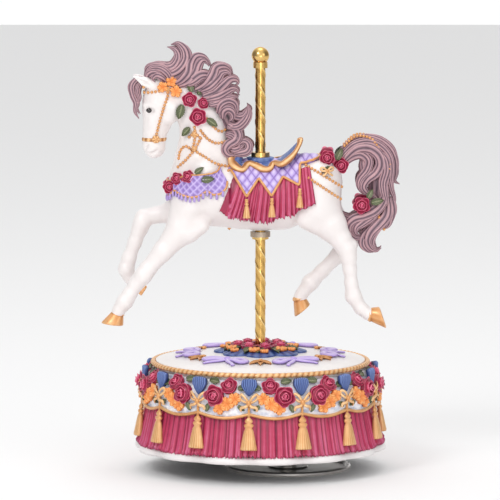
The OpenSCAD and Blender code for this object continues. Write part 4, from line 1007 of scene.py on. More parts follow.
def add_harness():
    trunk = Trunk(-30, 40)
    gold = Clay()

    # the blanket: two pointed flaps a side and a rear corner, embossed with four-petalled flowers
    blanket = Clay()

    def petals(u, v, x, z):
        a, b = (x + 0.9 * z) / 5.2, (x - 0.9 * z) / 5.2
        flower = abs(math.sin(math.pi * a) * math.sin(math.pi * b)) ** 0.6
        line = min(abs(math.sin(math.pi * a)), abs(math.sin(math.pi * b)))
        # relief: painted highlights on the raised flowers, painted shade in the lines between them
        return 1.35 + 0.55 * flower, 0.12 + 0.75 * flower if line > 0.16 else 0.06

    x_from, x_to = -18.4, 34.0
    outer, inner, relief = cloth_on_trunk(
        trunk, 150, 56, lambda u, v: x_from + (x_to - x_from) * u, lambda u: None,
        lambda u: BLANKET_LOW(x_from + (x_to - x_from) * u), petals)
    blanket.add(*closed_sheet(outer, inner, relief))
    blanket.mirrored()
    blanket.build("lavender_blanket", LAVENDER, "blanket")
    edge_cord(gold, outer[:, -1], 0.75)
    edge_cord(gold, outer[0], 0.7)

    # the skirt: pleats that fan out below the blanket to a loose hem
    skirt = Clay()
    low = polyline([(0, 13.6), (0.1, 10.6), (0.3, 8.6), (0.46, 7.4), (0.56, 8), (0.6, 10.4), (0.74, 11),
                    (0.88, 15), (1, 17.6)])
    top = polyline([(0, 33), (0.2, 30), (0.4, 33), (0.6, 33), (0.8, 36), (1, 39)])
    rng = np.random.default_rng(5)
    folds = np.cumsum(rng.uniform(0.5, 1.6, 22))
    folds /= folds[-1]

    def pleats(u, v, x, z):
        phase = np.interp(u, folds, np.arange(22)) * math.pi
        fold = abs(math.sin(phase))
        small = abs(math.sin(phase * 3 + 1))
        depth = 0.35 + 1.5 * v
        curl = (0.7 + 0.8 * math.sin(phase * 4)) * max(0, v - 0.88) / 0.12
        # relief: painted highlights on the pleat folds, painted shade between them
        return 0.35 + depth * (0.72 * fold + 0.24 * small) + curl, 0.02 + 0.5 * fold + 0.34 * small * (0.4 + 0.6 * v)

    outer, inner, relief = cloth_on_trunk(
        trunk, 190, 30, lambda u, v: (-15.5 + 44 * u) * (1 - v) + (-23.5 + 55.5 * u) * v, top,
        lambda u: low(u) + 0.4 * math.sin(u * 110) + 0.35 * math.sin(u * 47), pleats)
    skirt.add(*closed_sheet(outer, inner, relief))
    skirt.mirrored()
    skirt.build("crimson_skirt", CRIMSON, "skirt")

    add_breast_collar()

    # the noseband is a gold strap between two cords
    band = Clay()
    angle = ring_angles(60)
    rings, relief = [], []
    for z, lift in ((54.6, -0.4), (54.4, 0.1), (53.4, 0.35), (52.4, 0.1), (52.2, -0.4)):
        ring = []
        for a in angle:
            away = Vector((math.cos(a), math.sin(a), 0)).normalized()
            centre = Vector((HORSE[0] - 61.4, 0, HORSE[2] + z))
            place = SKIN.ray_cast(centre + away * 10.5, -away)[0]
            ring.append(np.array(place) + np.array(away) * lift)
        rings.append(ring)
        relief.append(0.5 + 0.4 * np.cos(angle * 12))
    rings = np.array(rings)
    inner = (rings - np.array((HORSE[0] - 61.4, 0, 0))) * (0.8, 0.8, 1) + np.array((HORSE[0] - 61.4, 0, 0))
    shell = np.concatenate([rings, inner[::-1]])
    band.add(shell.reshape(-1, 3), grid_faces(10, 60, True, True), np.concatenate(relief + relief[::-1]))
    band.build("gold_noseband", GOLD, "noseband")
    for k in (0, 4):
        edge_cord(gold, np.concatenate([rings[k], rings[k][:1]]), 0.35)
    gold.mirrored()
    gold.build("gold_edging", GOLD)

    add_saddle()


# The saddle's near edge [x, z, y], where y is None on the horse's side, and the height of its middle
SADDLE_EDGE = [(-18.2, 44.6, None), (-17.4, 40.2, None), (-14.6, 37, None), (-10.4, 35.6, None),
               (-7.2, 38.2, None),
               (-3.4, 37.4, None), (1.6, 35.6, None), (5.6, 36, None), (8, 38.6, None), (12, 40.4, -15.4),
               (16.2, 42.8, -13.2), (20, 46.6, -9.6), (22.4, 50.6, -6), (23.2, 53.2, -3)]
SADDLE_MIDDLE = polyline([(-19, 46), (-15.5, 47), (-12.4, 45.4), (-10.4, 41.6), (-5, 41.4), (5, 41.4),
                          (8, 40.8),
                          (12, 42.6), (16.5, 46.4), (20.6, 50.6), (23.4, 54)])


def add_saddle():
    edge = []
    for x, z, y in SADDLE_EDGE:
        place = on_side(x, z, -1, 2.2)[0] if y is None else HORSE + (x, y, z)
        edge.append(place)
    edge = smooth_path(edge, 8)
    # the seat is a sheet from edge to edge over the horse's back
    across = np.linspace(-1, 1, 61)
    outer, relief = np.zeros((len(edge), 61, 3)), np.zeros((len(edge), 61))
    for i, (x, y, z) in enumerate(edge):
        middle = max(HORSE[2] + SADDLE_MIDDLE(x - HORSE[0]), z + 0.4)
        stitch = np.abs(np.sin(6 * math.pi * across))
        outer[i] = np.stack([np.full(61, x), -y * across,
                             z + (middle - z) * (1 - np.abs(across) ** 2.4) + 0.25 * stitch], axis=1)
        # relief: painted highlights on the raised quilting, painted shade in the dips
        relief[i] = 0.22 + 0.42 * stitch
    seat = Clay()
    seat.add(*closed_sheet(outer, outer - (0, 0, 2.2), relief))
    # a rolled pommel in front and a padded collar round the pole
    around = ring_angles(24)
    for side in (-1, 1):
        roll = smooth_path([(-15.5, side * 9.4, 37), (-13.4, side * 8, 41.6), (-12, side * 4.4, 45.6),
                            (-11.8, 0, 46.4)], 8)
        seat.add(*sweep(roll + HORSE, lambda i, t: (2.5 * np.cos(around), 2.3 * np.sin(around),
                                                    0.4 + 0.3 * np.abs(np.sin(3 * around)))))
    seat.add_placed(lathe([(7.6, -3.5), (8.2, -1), (7.6, 0.4), (6.2, 0.8), (POLE_R + 1.2, 0.6),
                           (POLE_R + 0.6, -2)], 48,
                          lambda a, i: 1 + 0.05 * np.abs(np.cos(6 * a))),
                          frame_at(HORSE + (0, 0, 42.4), (0, 0, 1), up=(0, 1, 0)))
    seat.build("blue_seat", BLUE, "saddle")
    # the gold moulding along the edge
    roll = Clay()
    path = resampled(edge, 0.7)

    def section(i, t):
        k = ring_angles(20)
        size = 1.95 + 0.3 * math.sin(t * 19) - 0.6 * t
        ridge = 1 + 0.1 * np.cos(3 * k)
        # relief: painted highlights on the moulding's ridges, painted shade between them
        return 1.25 * size * ridge * np.cos(k), 0.8 * size * ridge * np.sin(k), 0.45 + 0.35 * np.cos(3 * k)

    roll.add(*sweep(path, section, up=(0, -1, 0)))
    roll.mirrored()
    roll.build("gold_saddle_roll", GOLD, "saddle_roll")


# ---------------------------------------------------------------- chains, tassels, eyes

# Chains on the near side as points [x, z], with a bead every step
CHAINS = [
    [(-68.8, 80.6), (-64, 80.2), (-58.4, 81)],
    [(-53.6, 82), (-53.6, 78), (-55.2, 73), (-58, 64), (-60, 56.4)],
    [(-31, 65), (-26.6, 59.8), (-23, 57.6), (-19, 59.6)],
    [(-34.4, 58), (-30.4, 53.2), (-25.6, 50.8), (-20.6, 51.8)],
    [(-38, 46.6), (-32.4, 42.6), (-26.6, 39), (-18.6, 37)],
    [(-38, 60), (-37.6, 56), (-38.4, 50), (-39.6, 47)],
    [(-41, 54.4), (-38, 56.4), (-34.8, 54)],
    [(-34.4, 53.6), (-38, 47), (-43, 41), (-47.4, 37)],
    [(-39.6, 47), (-43, 49), (-46, 46.6), (-47, 42)],
    [(26.4, 37.6), (36.6, 31.6), (46.6, 25.6)],
    [(28.2, 30.4), (36.6, 24.6), (46, 18.4)],
]
TAIL_CHAINS = [[(48.6, 50, -5), (55.4, 55.6, -5), (64.4, 54, -6), (69.6, 46, -8), (73.4, 39, -8)],
               [(67.4, 12, -8), (71.6, 1.6, -7)]]
BEAD_R = 0.92
BEAD_STEP = 1.95


def standing_out(x, z, lift):
    """A place on the near side, raised the more the further it stands out from the middle."""
    return on_side(x, z - 0.12 * on_side(x, z)[0][1], -1, lift)


def add_chains():
    clay = Clay()
    bead = ball(BEAD_R, 7, 10)
    for line in CHAINS:
        for x, z in resampled(smooth_path(line, 6), BEAD_STEP):
            place, normal = standing_out(x, z, 0.35)
            clay.add_placed(bead, frame_at(place, normal))
    for line in TAIL_CHAINS:
        for x, z, y in resampled(smooth_path(line, 6), BEAD_STEP):
            clay.add_placed(bead, frame_at(HORSE + (x, y, z), (0, -1, 0)))
    for x, z, size in ((-60.4, 53.2, 2.3), (-38, 56, 1.8), (-38, 47.4, 1.6), (-53.6, 82, 1.6)):
        place, normal = standing_out(x, z, 0.6)
        clay.add_placed(lathe([(size, -0.6), (size, 0.2), (size * 0.72, 0.7), (size * 0.6, 0.5),
                               (size * 0.3, 1.1), (0.1, 1.2)],
                              20, lambda a, i: 1 + 0.08 * np.cos(6 * a)), frame_at(place, normal))
    place, normal = standing_out(38, 33.4, 1)
    clay.add_placed(bow(3.9), frame_at(place, normal))
    clay.mirrored()
    clay.build("gold_chains", GOLD, "bead_chains")


def tassel(length, width, strands=14):
    """A hanging tassel about +Z with its loop at the origin."""
    k = length / 18
    profile = [(0.7, 0.6), (1.1, 0), (0.34 * width * 1.2, -0.8 * k), (0.5 * width, -1.6 * k),
               (0.42 * width, -2.5 * k),
               (0.3 * width, -2.9 * k), (0.52 * width, -3.3 * k), (0.6 * width, -4.1 * k),
               (0.52 * width, -4.9 * k),
               (0.4 * width, -5.4 * k), (0.56 * width, -7 * k), (0.7 * width, -10 * k),
               (0.86 * width, -14 * k),
               (1.0 * width, -17.2 * k), (0.96 * width, -18 * k), (0.5 * width, -17.4 * k)]

    def groove(a, i):
        return 1 + (0.09 * (np.abs(np.cos(strands / 2 * a)) - 0.5) if i > 9 else 0.0 * a)

    points, faces, relief = lathe(profile, 56, groove)
    return points, [tuple(reversed(f)) for f in faces], (relief + 0.08).clip(0, 1)


def bow(size):
    """A gold bow about +Z: two loops, two tails and a knot."""
    clay = Clay()
    for side in (-1, 1):
        loop = smooth_path([(0, 0, 0.3), (side * 0.5, 0.46, 0.5), (side * 0.95, 0.52, 0.4),
                            (side * 0.86, 0.12, 0.3),
                            (side * 0.4, -0.02, 0.4), (0, 0, 0.3)], 6) * size
        clay.add(*sweep(loop, lambda i, t: ribbon_ring(0.16 * size), up=(0, 0, 1)))
        tail = smooth_path([(0, 0, 0.3), (side * 0.3, -0.4, 0.3), (side * 0.78, -0.66, 0.1)], 5) * size
        clay.add(*sweep(tail, lambda i, t: ribbon_ring(0.17 * size), up=(0, 0, 1)))
    clay.add(*flat_ball(0.26 * size, 7, 12, (1, 1, 0.8), 0.4 * size))
    return clay.part()


def ribbon_ring(half):
    a = ring_angles(10)
    # relief: the upper face lighter and the lower face darker, painted light from above
    return half * np.cos(a), 0.55 * half * np.sin(a), 0.45 + 0.35 * np.sin(a)


SKIRT_TASSELS = [(-8, 20.4), (6.6, 20.9), (22.4, 26)]


def add_skirt_tassels():
    clay = Clay()
    for x, z in SKIRT_TASSELS:
        place, normal = on_side(x, z, -1, 2.6)
        clay.add_placed(tassel(10.5, 2.1, 8), frame_at(place, (0, 0, 1), up=normal))
    clay.mirrored()
    clay.build("gold_skirt_tassels", GOLD, "skirt_tassels")


def add_eyes():
    eye, lid = Clay(), Clay()
    for side in (-1, 1):
        place, normal = on_side(-64.2, 70.6, side, -0.7)
        eye.add_placed(ball(2.0, 12, 20), frame_at(place, normal))
        turn = np.linspace(0, TAU, 25)
        ring = np.stack([2.3 * np.cos(turn), 1.45 * np.sin(turn) - 0.1 * np.cos(2 * turn),
                         0.9 - 0.25 * np.cos(turn) ** 2], axis=1)
        m = frame_at(place, normal)
        lid.add(*sweep(ring @ m[:3, :3].T + m[:3, 3], round_section(0.42, 8), up=normal))
    eye.build("eyes", EYE)
    lid.build("eyelids", HORSE_WHITE)


# ---------------------------------------------------------------- flowers, leaves and other parts
# Each part is centred on +Z with its size in millimetres, and is placed with frame_at().

def petal(width, height, cup, curl):
    """A cupped petal that stands on the origin and faces away from +X's far side."""
    u, v = np.meshgrid(np.linspace(-1, 1, 7), np.linspace(0, 1, 7), indexing="ij")
    half = width * (0.45 + 0.55 * np.sin(np.minimum(v * 1.35, 1) * math.pi / 2)) * (1 - 0.25 * v ** 6)
    x = -cup * width * u ** 2 + curl * v ** 3 * height + 0.12 * height * np.sin(v * math.pi)
    y = u * half
    z = height * v * (1 - 0.16 * u ** 2 * v)
    outer = np.stack([x, y, z], axis=2)
    inner = outer - np.array([0.1 * width + 0.14, 0, 0.02])
    # relief: painted highlights on the rim and edges, painted shade at the base
    return closed_sheet(outer, inner, 0.26 + 0.74 * np.maximum(v ** 2.4, 0.75 * np.abs(u) ** 3))


def rose(radius, seed=0):
    """A full-blown rose: three rings of petals round a spiral bud, on a low mound."""
    rng = np.random.default_rng(seed)
    clay = Clay()
    clay.add(*lathe([(0.86 * radius, -0.5 * radius), (0.92 * radius, 0), (0.74 * radius, 0.32 * radius),
                     (0.4 * radius, 0.46 * radius), (0.04, 0.5 * radius)], 18))
    # the mound under the petals is painted dark, as painted shade beneath them
    clay.relief[0] = np.full(clay.count, 0.06)
    # each ring: distance out, petals, height, petal height, width and curl
    rings = [(0.56, 5, -0.2, 0.6, 0.62, 0.85), (0.36, 5, 0.04, 0.62, 0.5, 0.5),
             (0.2, 3, 0.16, 0.62, 0.42, 0.16)]
    for out, count, low, high, width, curl in rings:
        start = rng.uniform(0, TAU)
        for j in range(count):
            turn = start + j * TAU / count + rng.uniform(-0.15, 0.15)
            size = radius * rng.uniform(0.94, 1.06)
            points, faces, relief = petal(width * size, high * size, 0.5, curl)
            points = points + (out * radius, 0, low * radius)
            c, s = math.cos(turn), math.sin(turn)
            clay.add(points @ np.array([[c, s, 0], [-s, c, 0], [0, 0, 1]]), faces, relief)
    clay.add(*lathe([(0.2 * radius, 0.1 * radius), (0.24 * radius, 0.5 * radius),
                     (0.17 * radius, 0.72 * radius),
                     (0.05 * radius, 0.66 * radius)], 16, lambda a, i: 1 + 0.16 * np.cos(2 * a + 1.7 * i)))
    return clay.part()


def blossom(radius, seed=0, petals=5):
    """A flat ruffled flower."""
    rng = np.random.default_rng(seed)
    phase = rng.uniform(0, TAU, 3)
    r, a = np.meshgrid(np.linspace(0.03, 1, 9), ring_angles(60), indexing="ij")
    lobes = np.abs(np.cos(petals * (a + phase[0]) / 2))
    edge = radius * (0.66 + 0.3 * lobes ** 0.6 + 0.05 * np.cos(17 * a + phase[1]))
    ruffle = np.cos(13 * a + phase[2]) * r
    high = radius * (0.2 + 0.34 * np.sin(r * 2.4) * (0.5 + 0.5 * lobes) + 0.07 * ruffle)
    outer = np.stack([edge * r * np.cos(a), edge * r * np.sin(a), high], axis=2)
    # relief: painted highlights on the ruffles and petal tips, painted shade in the dips
    return polar_solid(outer, -0.3, 0.34 + 0.3 * ruffle + 0.3 * lobes * r)


def polar_solid(outer, floor, relief):
    """A closed solid from rings of points, innermost first, down to a flat underside."""
    rings, sides = outer.shape[:2]
    under = outer[-1].copy()
    under[:, 2] = floor
    points = np.concatenate([outer.reshape(-1, 3), under])
    # the underside ring gets relief 0.1: painted shade under the solid
    return points, tube_faces(rings + 1, sides), np.concatenate([relief.ravel(), np.full(sides, 0.1)])


def leaf(length, width, droop=0.18):
    """A toothed leaf along +Y from the origin, with a crease down its middle."""
    u, v = np.meshgrid(np.linspace(-1, 1, 9), np.linspace(0, 1, 15), indexing="ij")
    half = width / 2 * (np.sin(math.pi * (0.06 + 0.92 * v) ** 0.85) ** 0.8) * (1 + 0.09 * np.cos(v * 44))
    veins = np.abs(np.sin(9 * (v - 0.3 * np.abs(u)) * math.pi / 2))
    z = 0.5 + 0.22 * width * np.abs(u) ** 1.3 - droop * length * v ** 2 + 0.06 * width * veins * np.abs(u)
    outer = np.stack([u * half, length * v, z], axis=2)
    middle = 1 - np.clip(np.abs(u) * 5, 0, 1)
    return closed_sheet(outer, outer - (0, 0, 0.55), 0.24 + 0.34 * veins + 0.4 * middle)


def fan(width, height, pleats=7):
    """A pleated shell that opens upwards from the origin along +Y."""
    u, v = np.meshgrid(np.linspace(-1, 1, 57), np.linspace(0, 1, 12), indexing="ij")
    half = width / 2 * np.clip(0.1 + 1.25 * v ** 0.75, 0, 1) * (1 - 0.1 * np.clip(v - 0.85, 0, 1) / 0.15)
    fold = np.abs(np.cos(pleats * math.pi * u / 2))
    y = height * v * (1 - 0.07 * u ** 2) + 0.35 * fold * v
    z = 0.9 + 1.3 * (0.35 + 0.65 * v) * (1 - 0.75 * u ** 2) + 0.75 * fold * (0.3 + 0.7 * v) - 0.7 * (v > 0.97)
    outer = np.stack([u * half, y, z], axis=2)
    inner = outer.copy()
    inner[:, :, 2] = -0.6
    # relief: painted highlights on the pleat ridges and towards the top edge, painted shade in the folds
    return closed_sheet(outer, inner, 0.1 + 0.55 * fold + 0.2 * v)


def ribbon_bow(size):
    """A moulded bow: two loops up, two tails down and a knot, lying on +Z."""
    clay = Clay()
    for side in (-1, 1):
        for path, half in (([(0, 0, 0.2), (side * 0.42, 0.66, 0.5), (side * 0.86, 1.0, 0.3),
                             (side * 0.98, 0.62, 0.2),
                             (side * 0.6, 0.22, 0.4), (0, 0, 0.2)], 0.15),
                           ([(0, 0, 0.2), (side * 0.3, -0.36, 0.45), (side * 0.84, -0.5, 0.3),
                             (side * 0.9, -0.86, 0.1)], 0.17)):
            clay.add(*sweep(smooth_path(path, 6) * size, lambda i, t, h=half: ribbon_ring(h * size),
                            up=(0, 0, 1)))
    clay.add(*flat_ball(0.27 * size, 8, 14, (1, 1.2, 0.9), 0.35 * size))
    return clay.part()


# ---------------------------------------------------------------- flowers on the horse

# Roses [x, z, y, radius], leaves [x, z, y, direction, length] and blossoms [x, z, y, radius]
HORSE_ROSES = [(-41, 77, -10, 4.3), (-36, 67.2, -11, 5), (-33.2, 74.8, -10, 3.4), (-52.6, 26.4, -8, 3.8),
               (-47.4, 31.4, -11, 3.6), (-41, 32.8, -14, 3.8), (38.6, 43.6, -10, 4.4),
               (46.6, 38.6, -5.2, 4.6),
               (58.6, 16, -9.4, 5)]
HORSE_LEAVES = [(-40, 81, -9, 100, 7), (-36.6, 79.6, -9.6, 50, 6.4), (-45, 74.5, -9, 255, 9),
                (-31, 66, -10.4, -35, 7.5),
                (-40.4, 61, -11, 225, 7), (-34, 31.6, -15, 5, 7.5), (-37, 35, -14, 35, 6),
                (44, 42, -6, 65, 7.5),
                (49, 43, -4, 10, 6.4), (40, 37.6, -13, 215, 6.4), (64, 17.6, -9.4, 10, 7.5),
                (62, 20, -9, 60, 6)]
HORSE_BLOSSOMS = [(-56.4, 84.2, -7.6, 3.3), (-51.6, 87, -6.4, 3.5), (-48.6, 81.6, -8.4, 3.7),
                  (72.6, 38.4, -7.6, 3.2)]


def beside(x, z, y, lift):
    """A place on the near side: on the skin where that is near y and not too steep, or on the hair at y."""
    place, normal = on_side(x, z, -1, lift)
    missed = math.hypot(place[0] - HORSE[0] - x, place[2] - HORSE[2] - z) > 2.5
    if missed or y < place[1] - 3 or normal[1] > -0.45:
        return HORSE + (x, y - lift, z), np.array((0.0, -1.0, 0.0))
    return place, normal


def add_horse_flowers():
    roses, leaves, blossoms = Clay(), Clay(), Clay()
    for n, (x, z, y, radius) in enumerate(HORSE_ROSES):
        place, normal = beside(x, z, y, 0.6)
        roses.add_placed(rose(radius, n), frame_at(place, normal + np.array((0, -0.6, 0.1))))
    for x, z, y, turn, length in HORSE_LEAVES:
        place, normal = beside(x, z, y, 0.7)
        way = (math.cos(math.radians(turn)), 0, math.sin(math.radians(turn)))
        leaves.add_placed(leaf(length, 0.56 * length),
                          frame_at(place, normal + np.array((0, -0.4, 0)), up=way))
    for n, (x, z, y, radius) in enumerate(HORSE_BLOSSOMS):
        place, normal = beside(x, z, y, 0.5)
        blossoms.add_placed(blossom(radius, 20 + n), frame_at(place, normal + np.array((0, -0.6, 0))))
    for clay, name, material, node in ((roses, "roses_on_horse", ROSE, "horse_roses"),
                                       (leaves, "leaves_on_horse", LEAF, "horse_leaves"),
                                       (blossoms, "blossoms_on_horse", ORANGE, "horse_blossoms")):
        clay.mirrored()
        clay.build(name, material, node)


# ---------------------------------------------------------------- the draped base

VALANCE_PROFILE = [(CURTAIN_TOP - 2, VALANCE_R - 0.4), (CURTAIN_TOP, VALANCE_R - 0.2),
                   (CURTAIN_TOP + 3, VALANCE_R),
                   (VALANCE_TOP, BAND_R + 0.2), (SKIN_TOP, RIM_R + 1.4)]
TRIM_DROP = 2.6


def valance_radius(z):
    return np.interp(z, [p[0] for p in VALANCE_PROFILE], [p[1] for p in VALANCE_PROFILE])


def base_point(turn, r, z):
    """A point round the base: turn in degrees right of the front."""
    a = np.radians(turn)
    return np.stack(np.broadcast_arrays(POLE_X + r * np.sin(a), -r * np.cos(a), z), axis=-1)


def on_base(turn, z, lift=0.0, spin=0.0):
    """A frame on the valance's skin that faces outwards, with +Y up."""
    slope = math.atan2(valance_radius(z - 1) - valance_radius(z + 1), 2)
    a = math.radians(turn)
    out = np.array((math.sin(a) * math.cos(slope), -math.cos(a) * math.cos(slope), math.sin(slope)))
    return frame_at(base_point(turn, valance_radius(z), z) + out * lift, out, spin=spin)


def trim_height(turn):
    swag = (np.asarray(turn) - FIRST_SWAG) / SWAG_ANGLE
    return CURTAIN_TOP + 1.2 - TRIM_DROP * np.abs(np.sin(math.pi * swag))


def ring_solid(rows, relief):
    """A closed ring from rows of points that run round the pole, each row joined to the next."""
    rows = np.array(rows)
    count, columns = rows.shape[:2]
    return rows.reshape(-1, 3), grid_faces(count, columns, True, True), np.array(relief).ravel()


def add_valance():
    columns = SWAGS * 36
    turn = ring_degrees(columns)
    rng = np.random.default_rng(11)
    rows, relief = [], []
    low = trim_height(turn)
    shares = np.linspace(0, 1, 34)
    lumps = np.array([smooth_noise(rng, columns, 2) for _ in range(len(shares) + 2)])
    lumps = (lumps[:-2] + 2 * lumps[1:-1] + lumps[2:]) / 3
    for v, lump in zip(shares, lumps):
        z = low + (SKIN_TOP - 0.1 - low) * v
        fold = np.sin(np.radians(turn - FIRST_SWAG) * SWAGS * 3) * 0.18 * (1 - v)
        rows.append(base_point(turn, valance_radius(z) + 0.2 + 0.3 * lump + fold, z))
        # relief: painted highlights on the raised lumps, painted shade in the sunken ones
        relief.append(0.56 + 0.5 * lump)
    for r, z in ((RIM_R + 0.15, SKIN_TOP), (WALL_R + 0.3, CURTAIN_TOP + 10), (WALL_R + 0.3, CURTAIN_TOP)):
        rows.append(base_point(turn, r, np.minimum(z, SKIN_TOP)))
        relief.append(np.full(columns, 0.5))
    clay = Clay()
    clay.add(*ring_solid(rows, relief))
    clay.build("white_valance", VALANCE_WHITE, "valance")
    trim = Clay()
    turn = ring_degrees(SWAGS * 30)
    z = trim_height(turn)
    around = ring_angles(10)
    # relief: the upper half of the cord lighter, painted light from above
    trim.add(*sweep(base_point(turn, valance_radius(z) + 0.75, z),
                    lambda i, t: (np.cos(around), 0.95 * np.sin(around), 0.5 + 0.3 * np.sin(around)),
                    up=(0, 0, 1), closed=True))
    trim.build("gold_trim", GOLD, "valance_trim")


def smooth_noise(rng, count, width):
    raw = rng.uniform(-1, 1, count)
    kernel = np.ones(width * 2 + 1)
    return np.real(np.fft.ifft(np.fft.fft(raw) * np.fft.fft(kernel, count))) / math.sqrt(len(kernel))


def add_curtain():
    columns = SWAGS * 64
    turn = ring_degrees(columns)
    swag = ((turn - FIRST_SWAG) / SWAG_ANGLE) % 1
    rng = np.random.default_rng(7)
    pleats = SWAGS * 9
    steps = np.concatenate([[0], np.cumsum(rng.uniform(0.4, 1.7, pleats))])
    phase = np.interp(turn, steps / steps[-1] * 360, np.arange(pleats + 1)) * math.pi
    pleat_highlight = np.interp(turn, steps / steps[-1] * 360, np.append(rng.uniform(0.25, 1, pleats), 0.6))
    fold = np.abs(np.sin(phase)) ** 0.8
    small = np.abs(np.sin(phase * 3 + np.sin(phase * 0.5) * 2))
    ruffle = np.sin(phase * 4 + 1.2 * np.sin(phase))
    rows, relief = [], []
    for v in np.linspace(0, 1, 22):
        gather = math.exp(-v * 9)
        low = HEM_TOP - 0.9 + 0.9 * ruffle + 0.5 * fold + 0.6 * np.cos(swag * TAU)
        z = CURTAIN_TOP + 1.2 + (low - CURTAIN_TOP - 1.2) * v
        r = (VALANCE_R - 1.9) + (CURTAIN_R - VALANCE_R + 1.5) * v ** 1.2
        r = r + (0.5 + 1.3 * v) * (0.66 * fold + 0.4 * small) - 0.6 + 0.9 * gather * np.sin(phase * 2.5)
        r = r + 0.9 * max(0, v - 0.9) / 0.1 * (0.5 + 0.5 * ruffle)
        rows.append(base_point(turn, np.maximum(r, WALL_R + 0.8), z))
        # relief: painted highlights on the pleat folds, of random strength per pleat, and painted shade at the
        # gathered top
        relief.append(-0.02 + (0.26 + 0.4 * pleat_highlight) * fold + 0.3 * small * (0.4 + 0.6 * v) - 0.3 * gather)
    for z in (HEM_TOP + 0.3, CURTAIN_TOP + 0.4):
        rows.append(base_point(turn, WALL_R + 0.25, np.full(columns, z)))
        relief.append(np.zeros(columns))
    clay = Clay()
    clay.add(*ring_solid(rows, np.clip(relief, 0, 1)))
    clay.build("crimson_curtain", CRIMSON, "curtain")


def add_hem():
    columns = SWAGS * 24
    turn = ring_degrees(columns)
    notch = np.abs(np.cos(np.radians(turn - FIRST_SWAG) * SWAGS / 2)) ** 3
    edge = HEM_R - 2.4 * notch
    rows, relief = [], []
    for back, z in ((1.2, BASE_LIFT), (0.3, BASE_LIFT + 0.4), (0, BASE_LIFT + 1.4), (0.2, BASE_LIFT + 2.8),
                    (1.2, HEM_TOP - 1), (2.8, HEM_TOP - 0.25), (4.4, HEM_TOP - 0.1)):
        rows.append(base_point(turn, edge - back, np.full(columns, z)))
        # relief: painted shade in the notches under the tassels and where the frill is set back
        relief.append(0.55 - 0.2 * notch - 0.04 * back)
    for z in (HEM_TOP - 0.1, BASE_LIFT):
        rows.append(base_point(turn, WALL_R + 0.15, np.full(columns, z)))
        relief.append(np.full(columns, 0.4))
    clay = Clay()
    clay.add(*ring_solid(rows[::-1], relief[::-1]))
    clay.build("white_hem", WHITE, "hem_frill")


def add_rope():
    """The twisted cord round the domed top."""
    r = RIM_R + ROPE_R + 0.1
    pitch = TAU * r / round(TAU * r / 3.5)
    count = int(TAU * r / 0.42)
    turn = ring_degrees(count)
    angle = ring_angles(14)
    run = np.radians(turn) * r

    def section(i, t):
        bulge = np.abs(np.cos(math.pi * run[i] / pitch + 0.5 * angle)) ** 0.7
        k = ROPE_R * (0.76 + 0.24 * bulge)
        # relief: painted highlights on the bulges of the strands, painted shade between them
        return k * np.cos(angle), k * np.sin(angle), 0.08 + 0.72 * bulge

    clay = Clay()
    clay.add(*sweep(base_point(turn, r, ROPE_Z), section, up=(0, 0, 1), closed=True))
    clay.build("gold_rope", GOLD, "rope_rim")


# Flowers between two tassels: share of the swag, height above the curtain, size; the other way round
# on every other swag
SWAG_ROSES = [(-0.1, 15.8, 4.9), (0.16, 11.2, 6.0)]
SWAG_BLOSSOMS = [(0.06, 4.4, 4.0), (-0.09, 7, 4.3), (-0.23, 9.8, 3.9)]
SWAG_LEAVES = [(-0.28, 14.4, 70, 6.4), (0.12, 17.8, -75, 6.8), (0.27, 6.4, 200, 5), (-0.3, 6, 130, 4.6)]


def swag_turn(i, share):
    return FIRST_SWAG + (i + 0.5 + (share if i % 2 == 0 else -share)) * SWAG_ANGLE


def add_base_ornaments():
    roses, blossoms, leaves = Clay(), Clay(), Clay()
    fans, bows, tassels = Clay(), Clay(), Clay()
    hanging = tassel(18.4, 4.7, 18)
    hanging = (hanging[0] * (1, 0.6, 1), hanging[1], hanging[2])
    for i in range(SWAGS):
        flip = 1 if i % 2 == 0 else -1
        for n, (share, high, size) in enumerate(SWAG_ROSES):
            roses.add_placed(rose(size, 100 + 2 * i + n),
                             on_base(swag_turn(i, share), CURTAIN_TOP + high, 0.9, 40 * i))
        for n, (share, high, size) in enumerate(SWAG_BLOSSOMS):
            blossoms.add_placed(blossom(size, 200 + 3 * i + n),
                                on_base(swag_turn(i, share), CURTAIN_TOP + high, 0.4))
        for share, high, spin, size in SWAG_LEAVES:
            leaves.add_placed(leaf(size, 0.6 * size),
                              on_base(swag_turn(i, share), CURTAIN_TOP + high, 0.9, spin * flip))
        turn = FIRST_SWAG + i * SWAG_ANGLE
        fans.add_placed(fan(9.2, 9.8), on_base(turn, CURTAIN_TOP + 11.4, 0))
        bows.add_placed(ribbon_bow(5.2), on_base(turn, CURTAIN_TOP + 7.4, 0.6))
        cord = base_point(turn, valance_radius(CURTAIN_TOP + 6) + np.array([1.2, 1.3, 1.4]),
                          np.array([CURTAIN_TOP + 7, CURTAIN_TOP + 3, CURTAIN_TOP - 1.5]))
        bows.add(*sweep(cord, round_section(0.75, 8), up=base_point(turn, 1, 0) - base_point(turn, 0, 0)))
        out = base_point(turn, 1, 0) - base_point(turn, 0, 0)
        tassels.add_placed(hanging, frame_at(base_point(turn, CURTAIN_R - 1.7, CURTAIN_TOP - 1),
                                             np.array((0, 0, 1)) - 0.1 * out, up=out))
    for clay, name, material, node in (
            (roses, "roses_on_base", ROSE, "base_roses"),
            (blossoms, "blossoms_on_base", ORANGE, "base_blossoms"),
            (leaves, "leaves_on_base", LEAF, "base_leaves"), (fans, "blue_fans", BLUE, "base_fans"),
            (bows, "gold_bows", GOLD, "base_bows"), (tassels, "gold_tassels", GOLD, "base_tassels")):
        clay.build(name, material, node)


# ---------------------------------------------------------------- the domed top

def dome_height(r):
    return TOP_Z - DOME_SPHERE + np.sqrt(DOME_SPHERE ** 2 - np.asarray(r, dtype=float) ** 2)


